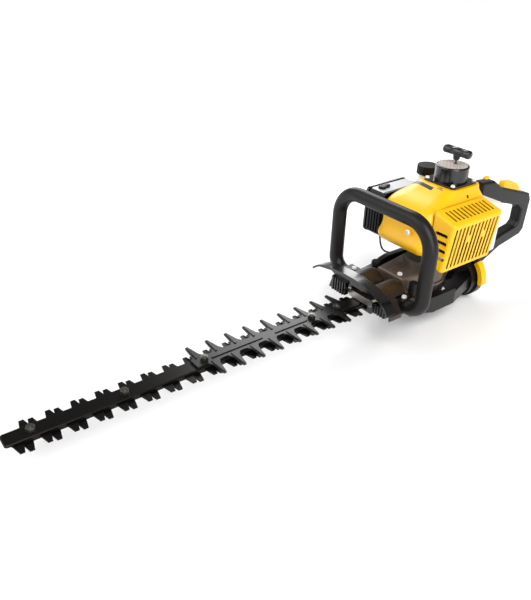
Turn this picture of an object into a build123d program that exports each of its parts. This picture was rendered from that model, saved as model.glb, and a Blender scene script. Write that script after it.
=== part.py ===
from build123d import *

import math
import os

# Petrol hedge trimmer with a double-sided blade, a front loop handle and a turning rear handle.
#
# Millimetres, +Z up.  The crankshaft's axis is the Z axis (X = 0, Y = 0), the blades point along +X,
# the operator's left (the muffler side) is +Y, and the floor that the chassis keel stands on is Z = 0.

# ---------------------------------------------------------------- driving dimensions
TOOTH_PITCH = 35.0  # spacing of the teeth along one side of one blade
TOOTH_REACH = 30.0  # blade centreline to tooth tip
TOOTH_COUNT = 17  # teeth on each side of a blade
SPINE_HALF = 13.0  # half width of the blade's solid spine
BLADE_THICK = 1.85
BLADE_GAP = 0.3  # running gap beside each blade
BLADE_PLANE = 70.0  # height of the plane between the two blades
FIRST_TOOTH = 790.0  # X of the foremost tooth of the lower blade
BLADE_LEAD = 11.8  # how far the upper blade stands ahead of the lower one at rest
BLADE_THROW = 8.75  # half of one blade's stroke
BLADE_TAIL = 128.0  # X of the blades' rear ends, inside the gearcase

BAR_TIP = 806.0
BAR_REAR = 154.0
BAR_THICK = 3.7
BAR_BOTTOM = BLADE_PLANE + BLADE_GAP / 2 + BLADE_THICK + BLADE_GAP
BAR_TOP = BAR_BOTTOM + BAR_THICK
BOLT_SPACING_X = (769.0, 639.0, 510.0, 304.0, 249.0)  # where the bar is bolted to the blades
BOLT_RADIUS = 3.0
GUARD_FRONT = 528.0
GUARD_REAR = 205.0
GUARD_THICK = 3.2
FINGER_REACH = 42.0

GEAR_MODULE = 1.25
GEAR_TEETH = 57
PINION_TEETH = 13
GEAR_X = GEAR_MODULE * (GEAR_TEETH + PINION_TEETH) / 2  # the cam gear's axis
GEARCASE_FLOOR = 46.0
GEARCASE_SPLIT = 80.0
GEARCASE_TOP = 110.0

BORE_RADIUS = 17.0
CRANK_THROW = 12.0
ROD_LENGTH = 46.0
CYLINDER_Z = 180.0  # height of the cylinder's axis

FLANGE_Z = 257.0  # height of the starter's flange
FLANGE_SIDE = 67.0
DRUM_RADIUS = 29.0
DRUM_TOP = 283.5

LOOP_X = 159.0
LOOP_HALF = 104.0
LOOP_TOP = 241.0
LOOP_FOOT = 88.0
LOOP_RADIUS = 12.5

PIVOT_Z = 45.5  # height of the rear handle's turning axis
PIVOT_RADIUS = 44.5
HANDLE_HALF = 12.0  # half of the rear handle's width

SHELL = 2.4  # wall of the moulded covers
FIT = 0.05  # radial clearance of a running fit

os.makedirs("parts", exist_ok=True)


def keep(builder, name):
    """Label a finished piece and write it as its own STEP file."""
    builder.part.label = name
    export_step(builder.part, f"parts/{name}.step")


# ---------------------------------------------------------------- cutting blades
def tooth_outline(x, side):
    """Four corners of one tooth, from its front root to its rear root."""
    root, reach = side * SPINE_HALF, side * TOOTH_REACH
    return [(x + 7.2, root), (x + 3.2, reach), (x - 3.2, reach), (x - 7.2, root)]


LINK_PIN_X = 136.0
LINK_PIN_RADIUS = 3.0
LINK_THICK = 4.0
LINK_GAP = 0.6


def blade(bottom, shift, name):
    """One flat double-sided blade: a slotted spine, teeth on both sides and a drive stud at its tail."""
    front = FIRST_TOOTH + shift
    with BuildPart() as piece:
        with BuildSketch(Plane.XY.offset(bottom)):
            near, far = [], []
            for number in range(TOOTH_COUNT):
                x = front - 8 - TOOTH_PITCH * number
                near += tooth_outline(x, 1)
                far += tooth_outline(x - TOOTH_PITCH / 2, -1)
            tip = [(front, -SPINE_HALF), (front, SPINE_HALF)]
            tail = [(BLADE_TAIL, SPINE_HALF), (BLADE_TAIL, -SPINE_HALF)]
            Polygon(*tip, *near, *tail, *reversed(far), align=None)
            for x in BOLT_SPACING_X:
                with Locations((x + math.copysign(BLADE_LEAD / 2, shift), 0)):
                    SlotOverall(2 * (BLADE_THROW + BOLT_RADIUS + 0.6), 2 * BOLT_RADIUS + 0.8, mode=Mode.SUBTRACT)
        extrude(amount=BLADE_THICK)
        sign = math.copysign(1, shift)
        stud_height = BLADE_THICK + LINK_GAP + LINK_THICK
        with BuildSketch(Plane.XY.offset(bottom if sign > 0 else bottom + BLADE_THICK - stud_height)):
            with Locations((LINK_PIN_X + sign * BLADE_LEAD / 2, 0)):
                Circle(LINK_PIN_RADIUS)
        extrude(amount=stud_height)
    keep(piece, name)


blade(BLADE_PLANE + BLADE_GAP / 2, BLADE_LEAD - 4, "upper_blade")
blade(BLADE_PLANE - BLADE_GAP / 2 - BLADE_THICK, -4.0, "lower_blade")

with BuildPart() as guide_bar:
    with BuildSketch(Plane.XY.offset(BAR_BOTTOM)):
        with Locations(((BAR_TIP + BAR_REAR) / 2, 0)):
            RectangleRounded(BAR_TIP - BAR_REAR, 2 * SPINE_HALF, 5)
        with Locations(*[(x, 0) for x in BOLT_SPACING_X]):
            Circle(BOLT_RADIUS + FIT, mode=Mode.SUBTRACT)
    extrude(amount=BAR_THICK)
    top_long_edges = guide_bar.edges().filter_by(Axis.X).group_by(Axis.Z)[-1]
    chamfer(top_long_edges, 1.4)
keep(guide_bar, "guide_bar")

PLATE_HALF = 10.5
FINGER_TIPS = {
    1: [501.0 - TOOTH_PITCH * number for number in range(8)],
    -1: [516.5 - TOOTH_PITCH * number for number in range(9)],
}
with BuildPart() as finger_guard:
    plate_plane = Plane.XY.offset(BAR_TOP)
    with BuildSketch(plate_plane):
        outline = {1: [], -1: []}
        for side, tips in FINGER_TIPS.items():
            for x in tips:
                outline[side] += [
                    (x + 10, side * PLATE_HALF),
                    (x + 5, side * 17),
                    (x + 2.2, side * FINGER_REACH),
                    (x - 2.2, side * FINGER_REACH),
                    (x - 7, side * 18),
                    (x - 12, side * PLATE_HALF),
                ]
        front = [(GUARD_FRONT, -PLATE_HALF), (GUARD_FRONT, PLATE_HALF)]
        rear = [(GUARD_REAR, PLATE_HALF), (GUARD_REAR, -PLATE_HALF)]
        Polygon(*front, *outline[1], *rear, *reversed(outline[-1]), align=None)
        with Locations(*[(x, 0) for x in BOLT_SPACING_X[2:]]):
            Circle(BOLT_RADIUS + FIT, mode=Mode.SUBTRACT)
    extrude(amount=GUARD_THICK)
    with BuildSketch(Plane.XY.offset(BAR_TOP + GUARD_THICK)):
        for start, end in ((406.0, 499.0), (316.0, 381.0)):
            with Locations(((start + end) / 2, 2.5)):
                Rectangle(end - start, 2.4)
        for side, tips in FINGER_TIPS.items():
            for x in tips:
                Polygon(
                    (x + 3.4, side * 9),
                    (x + 1.6, side * (FINGER_REACH - 2)),
                    (x - 0.4, side * (FINGER_REACH - 2)),
                    (x + 0.4, side * 9),
                    align=None,
                )
    extrude(amount=1.4)
keep(finger_guard, "finger_guard")

NUT_FLATS_RADIUS = 5.8
with BuildPart() as blade_bolts:
    for x in BOLT_SPACING_X:
        with BuildSketch(Plane.XY.offset(BLADE_PLANE - 7)):
            with Locations((x, 0)):
                Circle(7)
        extrude(amount=7 - BLADE_GAP - BLADE_THICK - BLADE_GAP / 2)
        with BuildSketch(Plane.XY.offset(BLADE_PLANE - 7)):
            with Locations((x, 0)):
                Circle(BOLT_RADIUS)
        thread_top = BAR_TOP + 8 + (GUARD_THICK if x < GUARD_FRONT else 0)
        extrude(amount=thread_top - (BLADE_PLANE - 7))
keep(blade_bolts, "blade_bolts")

with BuildPart() as blade_nuts:
    for x in BOLT_SPACING_X:
        seat = BAR_TOP + (GUARD_THICK if x < GUARD_FRONT else 0)
        with BuildSketch(Plane.XY.offset(seat)):
            with Locations((x, 0)):
                RegularPolygon(NUT_FLATS_RADIUS, 6, major_radius=False)
                Circle(BOLT_RADIUS + FIT, mode=Mode.SUBTRACT)
        extrude(amount=5.5)
        with BuildSketch(Plane.XY.offset(seat + 5.5)):
            with Locations((x, 0)):
                Circle(4.6)
                Circle(BOLT_RADIUS + FIT, mode=Mode.SUBTRACT)
        extrude(amount=1.6)
keep(blade_nuts, "blade_nuts")


# ---------------------------------------------------------------- gearcase and blade drive
def gearcase_outline(grow):
    """Plan of the gearcase: a small lobe round the pinion, a large one round the cam gear and a nose."""
    Circle(PINION_LOBE + grow)
    with Locations((GEAR_X, 0)):
        Circle(CASE_RADIUS + grow)
    Polygon(
        (-6, PINION_LOBE + grow - 1),
        (GEAR_X - 12, CASE_RADIUS + grow - 2),
        (GEAR_X, CASE_RADIUS + grow),
        (CASE_FRONT + grow, 30 + grow),
        (CASE_FRONT + grow, -30 - grow),
        (GEAR_X, -CASE_RADIUS - grow),
        (GEAR_X - 12, -CASE_RADIUS - grow + 2),
        (-6, -PINION_LOBE - grow + 1),
        align=None,
    )


PINION_LOBE = 22.0
CASE_RADIUS = 42.0
CASE_FRONT = 126.0
NOSE_TIP = 190.0
NOSE_HALF = 24.0
with BuildPart() as gearcase_lower:
    with BuildSketch(Plane.XY.offset(GEARCASE_FLOOR)):
        gearcase_outline(0)
    extrude(amount=GEARCASE_SPLIT - GEARCASE_FLOOR)
    fillet(gearcase_lower.faces().sort_by(Axis.Z)[0].edges(), 5)
    with BuildSketch(Plane.XY.offset(58)):
        with Locations(((120 + NOSE_TIP) / 2, 0)):
            Rectangle(NOSE_TIP - 120, 2 * NOSE_HALF)
    extrude(amount=GEARCASE_SPLIT - 58)
    with BuildSketch(Plane.XY.offset(GEARCASE_FLOOR + 5)):
        gearcase_outline(-4)
    extrude(amount=GEARCASE_SPLIT, mode=Mode.SUBTRACT)
    with BuildSketch(Plane.XY.offset(62)):
        with Locations((160, 0)):
            Rectangle(80, 2 * SPINE_HALF + 3)
    extrude(amount=BAR_TOP + 0.3 - 62, mode=Mode.SUBTRACT)
    with BuildSketch(Plane.XY.offset(61)):
        with Locations((130, 0)):
            Rectangle(46, 2 * SPINE_HALF + 3)
    extrude(amount=GEARCASE_SPLIT - 61, mode=Mode.SUBTRACT)
    for x, top, seat in ((GEAR_X, GEARCASE_FLOOR + 12, 14.0), (0, GEARCASE_FLOOR + 15, 13.0)):
        with BuildSketch(Plane((x, 0, GEARCASE_FLOOR + 4))):
            Circle(seat + 4)
            Circle(seat + FIT, mode=Mode.SUBTRACT)
        extrude(amount=top - GEARCASE_FLOOR - 4)
keep(gearcase_lower, "gearcase_lower")

with BuildPart() as gearcase_upper:
    with BuildSketch(Plane.XY.offset(GEARCASE_SPLIT + 0.3)):
        gearcase_outline(0)
    extrude(amount=GEARCASE_TOP - GEARCASE_SPLIT - 0.3)
    fillet(gearcase_upper.faces().sort_by(Axis.Z)[-1].edges(), 5)
    with BuildSketch(Plane.XY.offset(GEARCASE_SPLIT + 0.3)):
        gearcase_outline(3)
    extrude(amount=4)
    with BuildSketch(Plane.XY.offset(GEARCASE_SPLIT + 0.3)):
        gearcase_outline(-4)
    extrude(amount=GEARCASE_TOP - GEARCASE_SPLIT - 4.3, mode=Mode.SUBTRACT)
    with Locations((0, 0, GEARCASE_TOP)):
        Hole(10)
    with Locations((166, 7, 86.4)):
        Box(74, 50, 12)
    with Locations((201, 7, 86.4)):
        Box(4, 62, 9)
    for x, y in ((118, 16), (64, 30), (80, -26)):
        with BuildSketch(Plane((x, y, GEARCASE_TOP - 8))):
            Circle(6)
        extrude(amount=8.2)
    for y in (-16, -5, 6):
        with Locations((98, y, GEARCASE_TOP)):
            Box(40, 1.8, 2.4)
keep(gearcase_upper, "gearcase_upper")

def gear_profile(teeth, tip_fraction=1.0):
    """Outline of a spur gear as straight-sided teeth, in a sketch centred where it is called."""
    pitch_radius = GEAR_MODULE * teeth / 2
    tip = pitch_radius + GEAR_MODULE * tip_fraction
    root = pitch_radius - 1.25 * GEAR_MODULE
    step = 2 * math.pi / teeth
    points = []
    for tooth in range(teeth):
        centre = tooth * step
        for angle, radius in ((-0.30, root), (-0.12, tip), (0.12, tip), (0.30, root)):
            turn = centre + angle * step
            points.append((radius * math.cos(turn), radius * math.sin(turn)))
    Polygon(*points, align=None)


GEAR_BOTTOM = 86.0
GEAR_THICK = 8.0
with BuildPart() as cam_gear:
    with BuildSketch(Plane((GEAR_X, 0, GEAR_BOTTOM))):
        gear_profile(GEAR_TEETH)
    extrude(amount=GEAR_THICK)
    with BuildSketch(Plane((GEAR_X, 0, GEARCASE_FLOOR + 6))):
        Circle(6)
    extrude(amount=GEARCASE_TOP - GEARCASE_FLOOR - 11)
    for low in (62.9, 72.3):
        with BuildSketch(Plane((GEAR_X, 0, low))):
            Circle(6.5)
            Circle(4.5, mode=Mode.SUBTRACT)
        extrude(amount=4.8, mode=Mode.SUBTRACT)
    with BuildSketch(Plane((GEAR_X, 0, GEAR_BOTTOM))):
        with PolarLocations(21, 6):
            Circle(5)
    extrude(amount=GEAR_THICK, mode=Mode.SUBTRACT)
keep(cam_gear, "cam_gear")

ECCENTRIC_TURN = math.degrees(math.asin(BLADE_LEAD / 2 / BLADE_THROW))
ECCENTRIC_RADIUS = 16.0
RING_BORE = 17.2
with BuildPart() as eccentric_discs:
    for bottom, sign in ((67.9, -1), (70.1, 1)):
        with BuildSketch(Plane((GEAR_X, 0, bottom))):
            offset_x = sign * BLADE_THROW * math.sin(math.radians(ECCENTRIC_TURN))
            offset_y = sign * BLADE_THROW * math.cos(math.radians(ECCENTRIC_TURN))
            with Locations((offset_x, offset_y)):
                Circle(ECCENTRIC_RADIUS)
            Circle(6 + 0.02, mode=Mode.SUBTRACT)
        extrude(amount=2.0)
keep(eccentric_discs, "eccentric_discs")

def drive_link(bottom, thick, sign, name):
    """A link from the eccentric's ring to the pin in one blade's tail."""
    offset_x = sign * BLADE_LEAD / 2
    offset_y = sign * BLADE_THROW * math.cos(math.radians(ECCENTRIC_TURN))
    ring = (GEAR_X + offset_x, offset_y)
    eye = (LINK_PIN_X + offset_x, 0)
    with BuildPart() as piece:
        with BuildSketch(Plane.XY.offset(bottom)):
            with Locations(ring):
                Circle(RING_BORE + 5)
            with Locations(eye):
                Circle(7)
            Polygon((ring[0], ring[1] + 9), (eye[0], 6), (eye[0], -6), (ring[0], ring[1] - 9), align=None)
            with Locations(ring):
                Circle(RING_BORE, mode=Mode.SUBTRACT)
            with Locations(eye):
                Circle(LINK_PIN_RADIUS + FIT, mode=Mode.SUBTRACT)
        extrude(amount=thick)
    keep(piece, name)


LINK_LEVEL = BLADE_GAP / 2 + BLADE_THICK + LINK_GAP
drive_link(BLADE_PLANE + LINK_LEVEL, LINK_THICK, 1, "upper_link")
drive_link(BLADE_PLANE - LINK_LEVEL - LINK_THICK, LINK_THICK, -1, "lower_link")

with BuildPart() as gear_bearings:
    for x, low, height, inner, outer in (
        (GEAR_X, GEARCASE_FLOOR + 6, 6, 6.0, 14.0),
        (GEAR_X, GEARCASE_TOP - 12, 7.0, 6.0, 13.0),
        (0, GEARCASE_FLOOR + 6, 8, 5.0, 13.0),
    ):
        with BuildSketch(Plane((x, 0, low))):
            Circle(outer)
            Circle(inner + FIT, mode=Mode.SUBTRACT)
        extrude(amount=height)
keep(gear_bearings, "gear_bearings")

DRUM_FLOOR = 113.0
with BuildPart() as clutch_drum:
    with BuildSketch(Plane.XY.offset(GEAR_BOTTOM - 1)):
        gear_profile(PINION_TEETH)
    extrude(amount=GEAR_THICK + 2)
    with BuildSketch(Plane.XY.offset(GEARCASE_FLOOR + 5.5)):
        Circle(5)
    extrude(amount=54)
    with BuildSketch(Plane.XY.offset(GEAR_BOTTOM + 8)):
        Circle(7)
    extrude(amount=DRUM_FLOOR + 2 - GEAR_BOTTOM - 8)
    with BuildSketch(Plane.XY.offset(DRUM_FLOOR)):
        Circle(33)
    extrude(amount=18)
    with BuildSketch(Plane.XY.offset(DRUM_FLOOR + 2.5)):
        Circle(30.5)
    extrude(amount=18, mode=Mode.SUBTRACT)
keep(clutch_drum, "clutch_drum")


# ---------------------------------------------------------------- clutch, crank train and cylinder
CLUTCH_HOUSING_TOP = 140.0
CRANKCASE_TOP = 212.0
WEB_RADIUS = 23.0
SHAFT_RADIUS = 6.0
ROD_HALF_THICK = 5.2
WEB_THICK = 6.0
FLYWHEEL_Z = 217.0

with BuildPart() as clutch_housing:
    with BuildSketch(Plane.XY.offset(GEARCASE_TOP)):
        Circle(42)
    extrude(amount=CLUTCH_HOUSING_TOP - GEARCASE_TOP)
    fillet(clutch_housing.faces().sort_by(Axis.Z)[-1].edges(), 4)
    with BuildSketch(Plane.XY.offset(GEARCASE_TOP)):
        with Locations((GEAR_X, 0)):
            Circle(30)
        with Locations((GEAR_X / 2, 0)):
            Rectangle(GEAR_X, 60)
    extrude(amount=9)
    with BuildSketch(Plane.XY.offset(GEARCASE_TOP + 2.2)):
        Circle(36)
    extrude(amount=CLUTCH_HOUSING_TOP - GEARCASE_TOP - 6.2, mode=Mode.SUBTRACT)
    with BuildSketch(Plane.XY.offset(GEARCASE_TOP)):
        Circle(10)
    extrude(amount=CLUTCH_HOUSING_TOP - GEARCASE_TOP, mode=Mode.SUBTRACT)
keep(clutch_housing, "clutch_housing")

with BuildPart() as clutch_shoes:
    with BuildSketch(Plane.XY.offset(DRUM_FLOOR + 4)):
        Circle(29.6)
        Circle(17, mode=Mode.SUBTRACT)
        Rectangle(3, 80, mode=Mode.SUBTRACT)
    extrude(amount=12)
keep(clutch_shoes, "clutch_shoes")

with BuildPart() as clutch_hub:
    with BuildSketch(Plane.XY.offset(DRUM_FLOOR + 5)):
        Circle(16.5)
        Circle(SHAFT_RADIUS + 0.02, mode=Mode.SUBTRACT)
    extrude(amount=10)
keep(clutch_hub, "clutch_hub")

with BuildPart() as crankcase:
    with BuildSketch(Plane.XY.offset(CLUTCH_HOUSING_TOP)):
        Circle(35)
    extrude(amount=CRANKCASE_TOP - CLUTCH_HOUSING_TOP)
    with Locations((18, 0, CYLINDER_Z)):
        Box(36, 56, 52)
    with BuildSketch(Plane.XY.offset(CYLINDER_Z - 22)):
        Circle(28)
    extrude(amount=44, mode=Mode.SUBTRACT)
    with BuildSketch(Plane.YZ):
        with Locations((0, CYLINDER_Z)):
            Circle(BORE_RADIUS + 0.6)
    extrude(amount=40, mode=Mode.SUBTRACT)
    with Locations((0, 0, CRANKCASE_TOP)):
        Hole(11)
keep(crankcase, "crankcase")

with BuildPart() as crank_bearings:
    for low in (CLUTCH_HOUSING_TOP + 8, CRANKCASE_TOP - 9):
        with BuildSketch(Plane.XY.offset(low)):
            Circle(10.95)
            Circle(SHAFT_RADIUS + FIT, mode=Mode.SUBTRACT)
        extrude(amount=8)
keep(crank_bearings, "crank_bearings")

with BuildPart() as crankshaft:
    for bottom, top, web in (
        (DRUM_FLOOR + 4, CYLINDER_Z - ROD_HALF_THICK - WEB_THICK, CYLINDER_Z - ROD_HALF_THICK - WEB_THICK - 0.6),
        (CYLINDER_Z + ROD_HALF_THICK + WEB_THICK, 252, CYLINDER_Z + ROD_HALF_THICK + 0.6),
    ):
        with BuildSketch(Plane.XY.offset(bottom)):
            Circle(SHAFT_RADIUS)
        extrude(amount=top - bottom)
        with BuildSketch(Plane.XY.offset(web)):
            Circle(WEB_RADIUS)
        extrude(amount=WEB_THICK)
keep(crankshaft, "crankshaft")

PIN_X = CRANK_THROW + ROD_LENGTH
with BuildPart() as connecting_rod:
    with BuildSketch(Plane.XY.offset(CYLINDER_Z - ROD_HALF_THICK)):
        with Locations((CRANK_THROW, 0)):
            Circle(9)
        with Locations((PIN_X, 0)):
            Circle(7)
        with Locations(((CRANK_THROW + PIN_X) / 2, 0)):
            Rectangle(ROD_LENGTH, 8)
        with Locations((CRANK_THROW, 0)):
            Circle(5 + 0.02, mode=Mode.SUBTRACT)
        with Locations((PIN_X, 0)):
            Circle(4 + 0.02, mode=Mode.SUBTRACT)
    extrude(amount=2 * ROD_HALF_THICK)
keep(connecting_rod, "connecting_rod")

with BuildPart() as rod_pins:
    with BuildSketch(Plane((CRANK_THROW, 0, CYLINDER_Z - ROD_HALF_THICK - 0.2))):
        Circle(5)
    extrude(amount=2 * ROD_HALF_THICK + 0.4)
    with BuildSketch(Plane((PIN_X, 0, CYLINDER_Z - 14))):
        Circle(4)
    extrude(amount=28)
keep(rod_pins, "rod_pins")

with BuildPart() as piston:
    with BuildSketch(Plane.YZ.offset(PIN_X - 10)):
        with Locations((0, CYLINDER_Z)):
            Circle(BORE_RADIUS - 0.08)
    extrude(amount=20)
    with BuildSketch(Plane.YZ.offset(PIN_X - 10)):
        with Locations((0, CYLINDER_Z)):
            Circle(BORE_RADIUS - 3)
    extrude(amount=18, mode=Mode.SUBTRACT)
    with BuildSketch(Plane((PIN_X, 0, CYLINDER_Z - 20))):
        Circle(4 + FIT)
    extrude(amount=40, mode=Mode.SUBTRACT)
keep(piston, "piston")

CYLINDER_FRONT = 84.0
with BuildPart() as cylinder:
    with BuildSketch(Plane.YZ.offset(36)):
        with Locations((0, CYLINDER_Z)):
            Circle(21)
    extrude(amount=CYLINDER_FRONT - 36)
    for number in range(7):
        with BuildSketch(Plane.YZ.offset(43 + 6 * number)):
            with Locations((0, CYLINDER_Z)):
                RectangleRounded(72, 58, 8)
        extrude(amount=1.8)
    with Locations((56, 0, CYLINDER_Z)):
        Box(18, 76, 24)
    with BuildSketch(Plane.YZ.offset(36)):
        with Locations((0, CYLINDER_Z)):
            Circle(BORE_RADIUS)
    extrude(amount=36, mode=Mode.SUBTRACT)
    with BuildSketch(Plane.YZ.offset(60)):
        with Locations((0, CYLINDER_Z)):
            Circle(5.05)
    extrude(amount=40, mode=Mode.SUBTRACT)
    with BuildSketch(Plane.XZ.offset(-50)):
        with Locations((56, CYLINDER_Z)):
            Circle(6)
    extrude(amount=100, mode=Mode.SUBTRACT)
keep(cylinder, "cylinder")

with BuildPart() as spark_plug:
    for start, length, radius in ((72, 13, 5.0), (84, 3, 7.5), (87, 5, 6.5), (92, 8, 4.0)):
        with BuildSketch(Plane.YZ.offset(start)):
            with Locations((0, CYLINDER_Z)):
                if start == 87:
                    RegularPolygon(radius + 1.5, 6)
                else:
                    Circle(radius)
        extrude(amount=length)
keep(spark_plug, "spark_plug")

with BuildPart() as plug_boot:
    with BuildSketch(Plane.YZ.offset(93)):
        with Locations((0, CYLINDER_Z)):
            Circle(8)
    extrude(amount=11.5)
    fillet(plug_boot.edges(), 1.5)
    with BuildSketch(Plane.YZ.offset(90)):
        with Locations((0, CYLINDER_Z)):
            Circle(4.02)
    extrude(amount=10.2, mode=Mode.SUBTRACT)
keep(plug_boot, "plug_boot")

FAN_BLADES = 14
with BuildPart() as flywheel:
    with BuildSketch(Plane.XY.offset(FLYWHEEL_Z)):
        Circle(38)
        Circle(SHAFT_RADIUS + 0.02, mode=Mode.SUBTRACT)
    extrude(amount=5)
    with BuildSketch(Plane.XY.offset(FLYWHEEL_Z + 4.5)):
        with PolarLocations(26.5, FAN_BLADES):
            Rectangle(21, 2)
    extrude(amount=13)
    with BuildSketch(Plane.XY.offset(FLYWHEEL_Z + 4.5)):
        Circle(12)
        Circle(SHAFT_RADIUS + 0.02, mode=Mode.SUBTRACT)
    extrude(amount=15)
keep(flywheel, "flywheel")

with BuildPart() as flywheel_nut:
    with BuildSketch(Plane.XY.offset(FLYWHEEL_Z + 19.5)):
        RegularPolygon(10, 6)
        Circle(SHAFT_RADIUS + 0.02, mode=Mode.SUBTRACT)
    extrude(amount=6)
keep(flywheel_nut, "flywheel_nut")

with BuildPart() as ignition_coil:
    with Locations((50, 0, FLYWHEEL_Z + 3)):
        Box(16, 30, 14)
    fillet(ignition_coil.edges().filter_by(Axis.Z), 2)
keep(ignition_coil, "ignition_coil")

# ---------------------------------------------------------------- yellow covers
COVER_NEAR = 51.0
COVER_FAR = -57.0
COVER_SECTIONS = (  # height, front, rear, near side, far side, corner radius
    (155.0, 109.0, -50.0, 50.5, -56.0, 15.0),
    (182.0, 109.0, -50.0, 50.5, -56.0, 15.0),
    (208.0, 108.5, -50.0, 50.5, -56.0, 15.0),
    (224.0, 104.0, -49.0, 50.0, -55.5, 18.0),
    (236.0, 84.0, -46.0, 46.5, -52.0, 22.0),
    (246.0, 56.0, -42.5, 42.0, -45.0, 22.0),
    (253.0, 40.0, -39.5, 39.0, -40.0, 16.0),
)


def cover_form(inset):
    """Smoothly lofted form of the engine cover, made smaller by inset all round."""
    with BuildPart() as form:
        for height, front, rear, near, far, radius in COVER_SECTIONS:
            with BuildSketch(Plane.XY.offset(height - inset)):
                with Locations(((front + rear) / 2, (near + far) / 2)):
                    RectangleRounded(front - rear - 2 * inset, near - far - 2 * inset, radius - inset)
        loft()
    return form.part


with BuildPart() as engine_cover:
    add(cover_form(0))
    add(cover_form(SHELL), mode=Mode.SUBTRACT)
    with BuildSketch(Plane.XY.offset(FLANGE_Z - 12)):
        Circle(30)
    extrude(amount=20, mode=Mode.SUBTRACT)
    with BuildSketch(Plane.XZ.offset(-COVER_NEAR - 5)):
        with Locations((28, 185)):
            Rectangle(106, 62)
    extrude(amount=10, mode=Mode.SUBTRACT)
    with BuildSketch(Plane.XZ.offset(-COVER_FAR - 5)):
        with Locations((52, 188)):
            Rectangle(70, 56)
    extrude(amount=10, mode=Mode.SUBTRACT)
keep(engine_cover, "engine_cover")

MUFFLER_COVER_FRONT = 96.0
MUFFLER_COVER_REAR = -32.0


def muffler_cover_outline(inset):
    """Cross-section of the muffler cover in the YZ plane."""
    Polygon(
        (COVER_NEAR + 2.2, 136 + inset),
        (85 - inset, 133 + inset),
        (95 - inset, 224 - inset),
        (COVER_NEAR + 2.2, 236 - inset),
        align=None,
    )


with BuildPart() as muffler_cover:
    with BuildSketch(Plane.YZ.offset(MUFFLER_COVER_REAR)):
        muffler_cover_outline(0)
    extrude(amount=MUFFLER_COVER_FRONT - MUFFLER_COVER_REAR)
    outer_edges = muffler_cover.edges().filter_by(lambda e: e.center().Y > COVER_NEAR + 3)
    fillet(outer_edges, 6)
    with BuildSketch(Plane.YZ.offset(MUFFLER_COVER_REAR + SHELL)):
        muffler_cover_outline(SHELL)
    extrude(amount=MUFFLER_COVER_FRONT - MUFFLER_COVER_REAR - 2 * SHELL, mode=Mode.SUBTRACT)
    slot_pitch = 9.6
    with BuildSketch(Plane.XZ.offset(-120)):
        for number in range(12):
            x = MUFFLER_COVER_REAR + 12 + slot_pitch * number
            low, high = (142, 216) if number not in (3, 7) else (142, 184)
            with Locations((x, (low + high) / 2)):
                SlotOverall(high - low, 4.6, rotation=90)
            if number in (3, 7):
                with Locations((x, 206)):
                    SlotOverall(20, 4.6, rotation=90)
    extrude(amount=50, mode=Mode.SUBTRACT)
    with BuildSketch(Plane.XY.offset(200)):
        for number in range(11):
            with Locations((MUFFLER_COVER_REAR + 16 + slot_pitch * number, 73)):
                SlotOverall(26, 4.2, rotation=90)
    extrude(amount=40, mode=Mode.SUBTRACT)
    with BuildSketch(Plane.YZ.offset(MUFFLER_COVER_FRONT - 8)):
        for z in (160, 174, 188, 202):
            with Locations((72, z)):
                SlotOverall(26, 6)
    extrude(amount=20, mode=Mode.SUBTRACT)
keep(muffler_cover, "muffler_cover")

with BuildPart() as muffler:
    with Locations((34, 68, 182)):
        Box(84, 26, 62)
    fillet(muffler.edges(), 6)
    with Locations((34, 68, 182)):
        Box(78, 20, 56, mode=Mode.SUBTRACT)
    with BuildSketch(Plane.XZ.offset(-42)):
        with Locations((56, CYLINDER_Z)):
            Circle(9)
            Circle(6, mode=Mode.SUBTRACT)
    extrude(amount=-15)
keep(muffler, "muffler")

# ---------------------------------------------------------------- intake side
AIR_BOX_FRONT = 100.0
AIR_BOX_REAR = 2.0
CABLE_RADIUS = 1.6
CABLE_EXIT = (92.0, -66.0)  # where the throttle cable leaves through the air box floor
with BuildPart() as intake_insulator:
    with Locations((56, -45, CYLINDER_Z)):
        Box(30, 13.6, 24)
    with BuildSketch(Plane.XZ.offset(30)):
        with Locations((56, CYLINDER_Z)):
            Circle(6)
    extrude(amount=30, mode=Mode.SUBTRACT)
keep(intake_insulator, "intake_insulator")

with BuildPart() as carburetor:
    with Locations((56, -67, CYLINDER_Z)):
        Box(32, 30, 34)
    fillet(carburetor.edges().filter_by(Axis.Y), 4)
    with BuildSketch(Plane.XZ.offset(40)):
        with Locations((56, CYLINDER_Z)):
            Circle(6)
    extrude(amount=50, mode=Mode.SUBTRACT)
    with BuildSketch(Plane((56, -70, CYLINDER_Z - 30))):
        Circle(2 + FIT)
    extrude(amount=60, mode=Mode.SUBTRACT)
    with BuildSketch(Plane((48, -76, CYLINDER_Z - 20))):
        Circle(7.5)
    extrude(amount=8, mode=Mode.SUBTRACT)
keep(carburetor, "carburetor")

with BuildPart() as throttle_shaft:
    with BuildSketch(Plane((56, -70, CYLINDER_Z - 19))):
        Circle(2)
    extrude(amount=42)
    with BuildSketch(Plane.XZ.offset(69.4)):
        with Locations((56, CYLINDER_Z)):
            Circle(5.8)
    extrude(amount=1.2)
    with BuildSketch(Plane((56, -70, CYLINDER_Z + 18.5))):
        with Locations((6, 0)):
            SlotOverall(18, 6)
    extrude(amount=2)
keep(throttle_shaft, "throttle_valve")

with BuildPart() as primer_bulb:
    with BuildSketch(Plane.XY.offset(CYLINDER_Z - 26)):
        with Locations((48, -76)):
            Circle(7)
    extrude(amount=8.7)
    fillet(primer_bulb.faces().sort_by(Axis.Z)[0].edges(), 4)
keep(primer_bulb, "primer_bulb")

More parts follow.
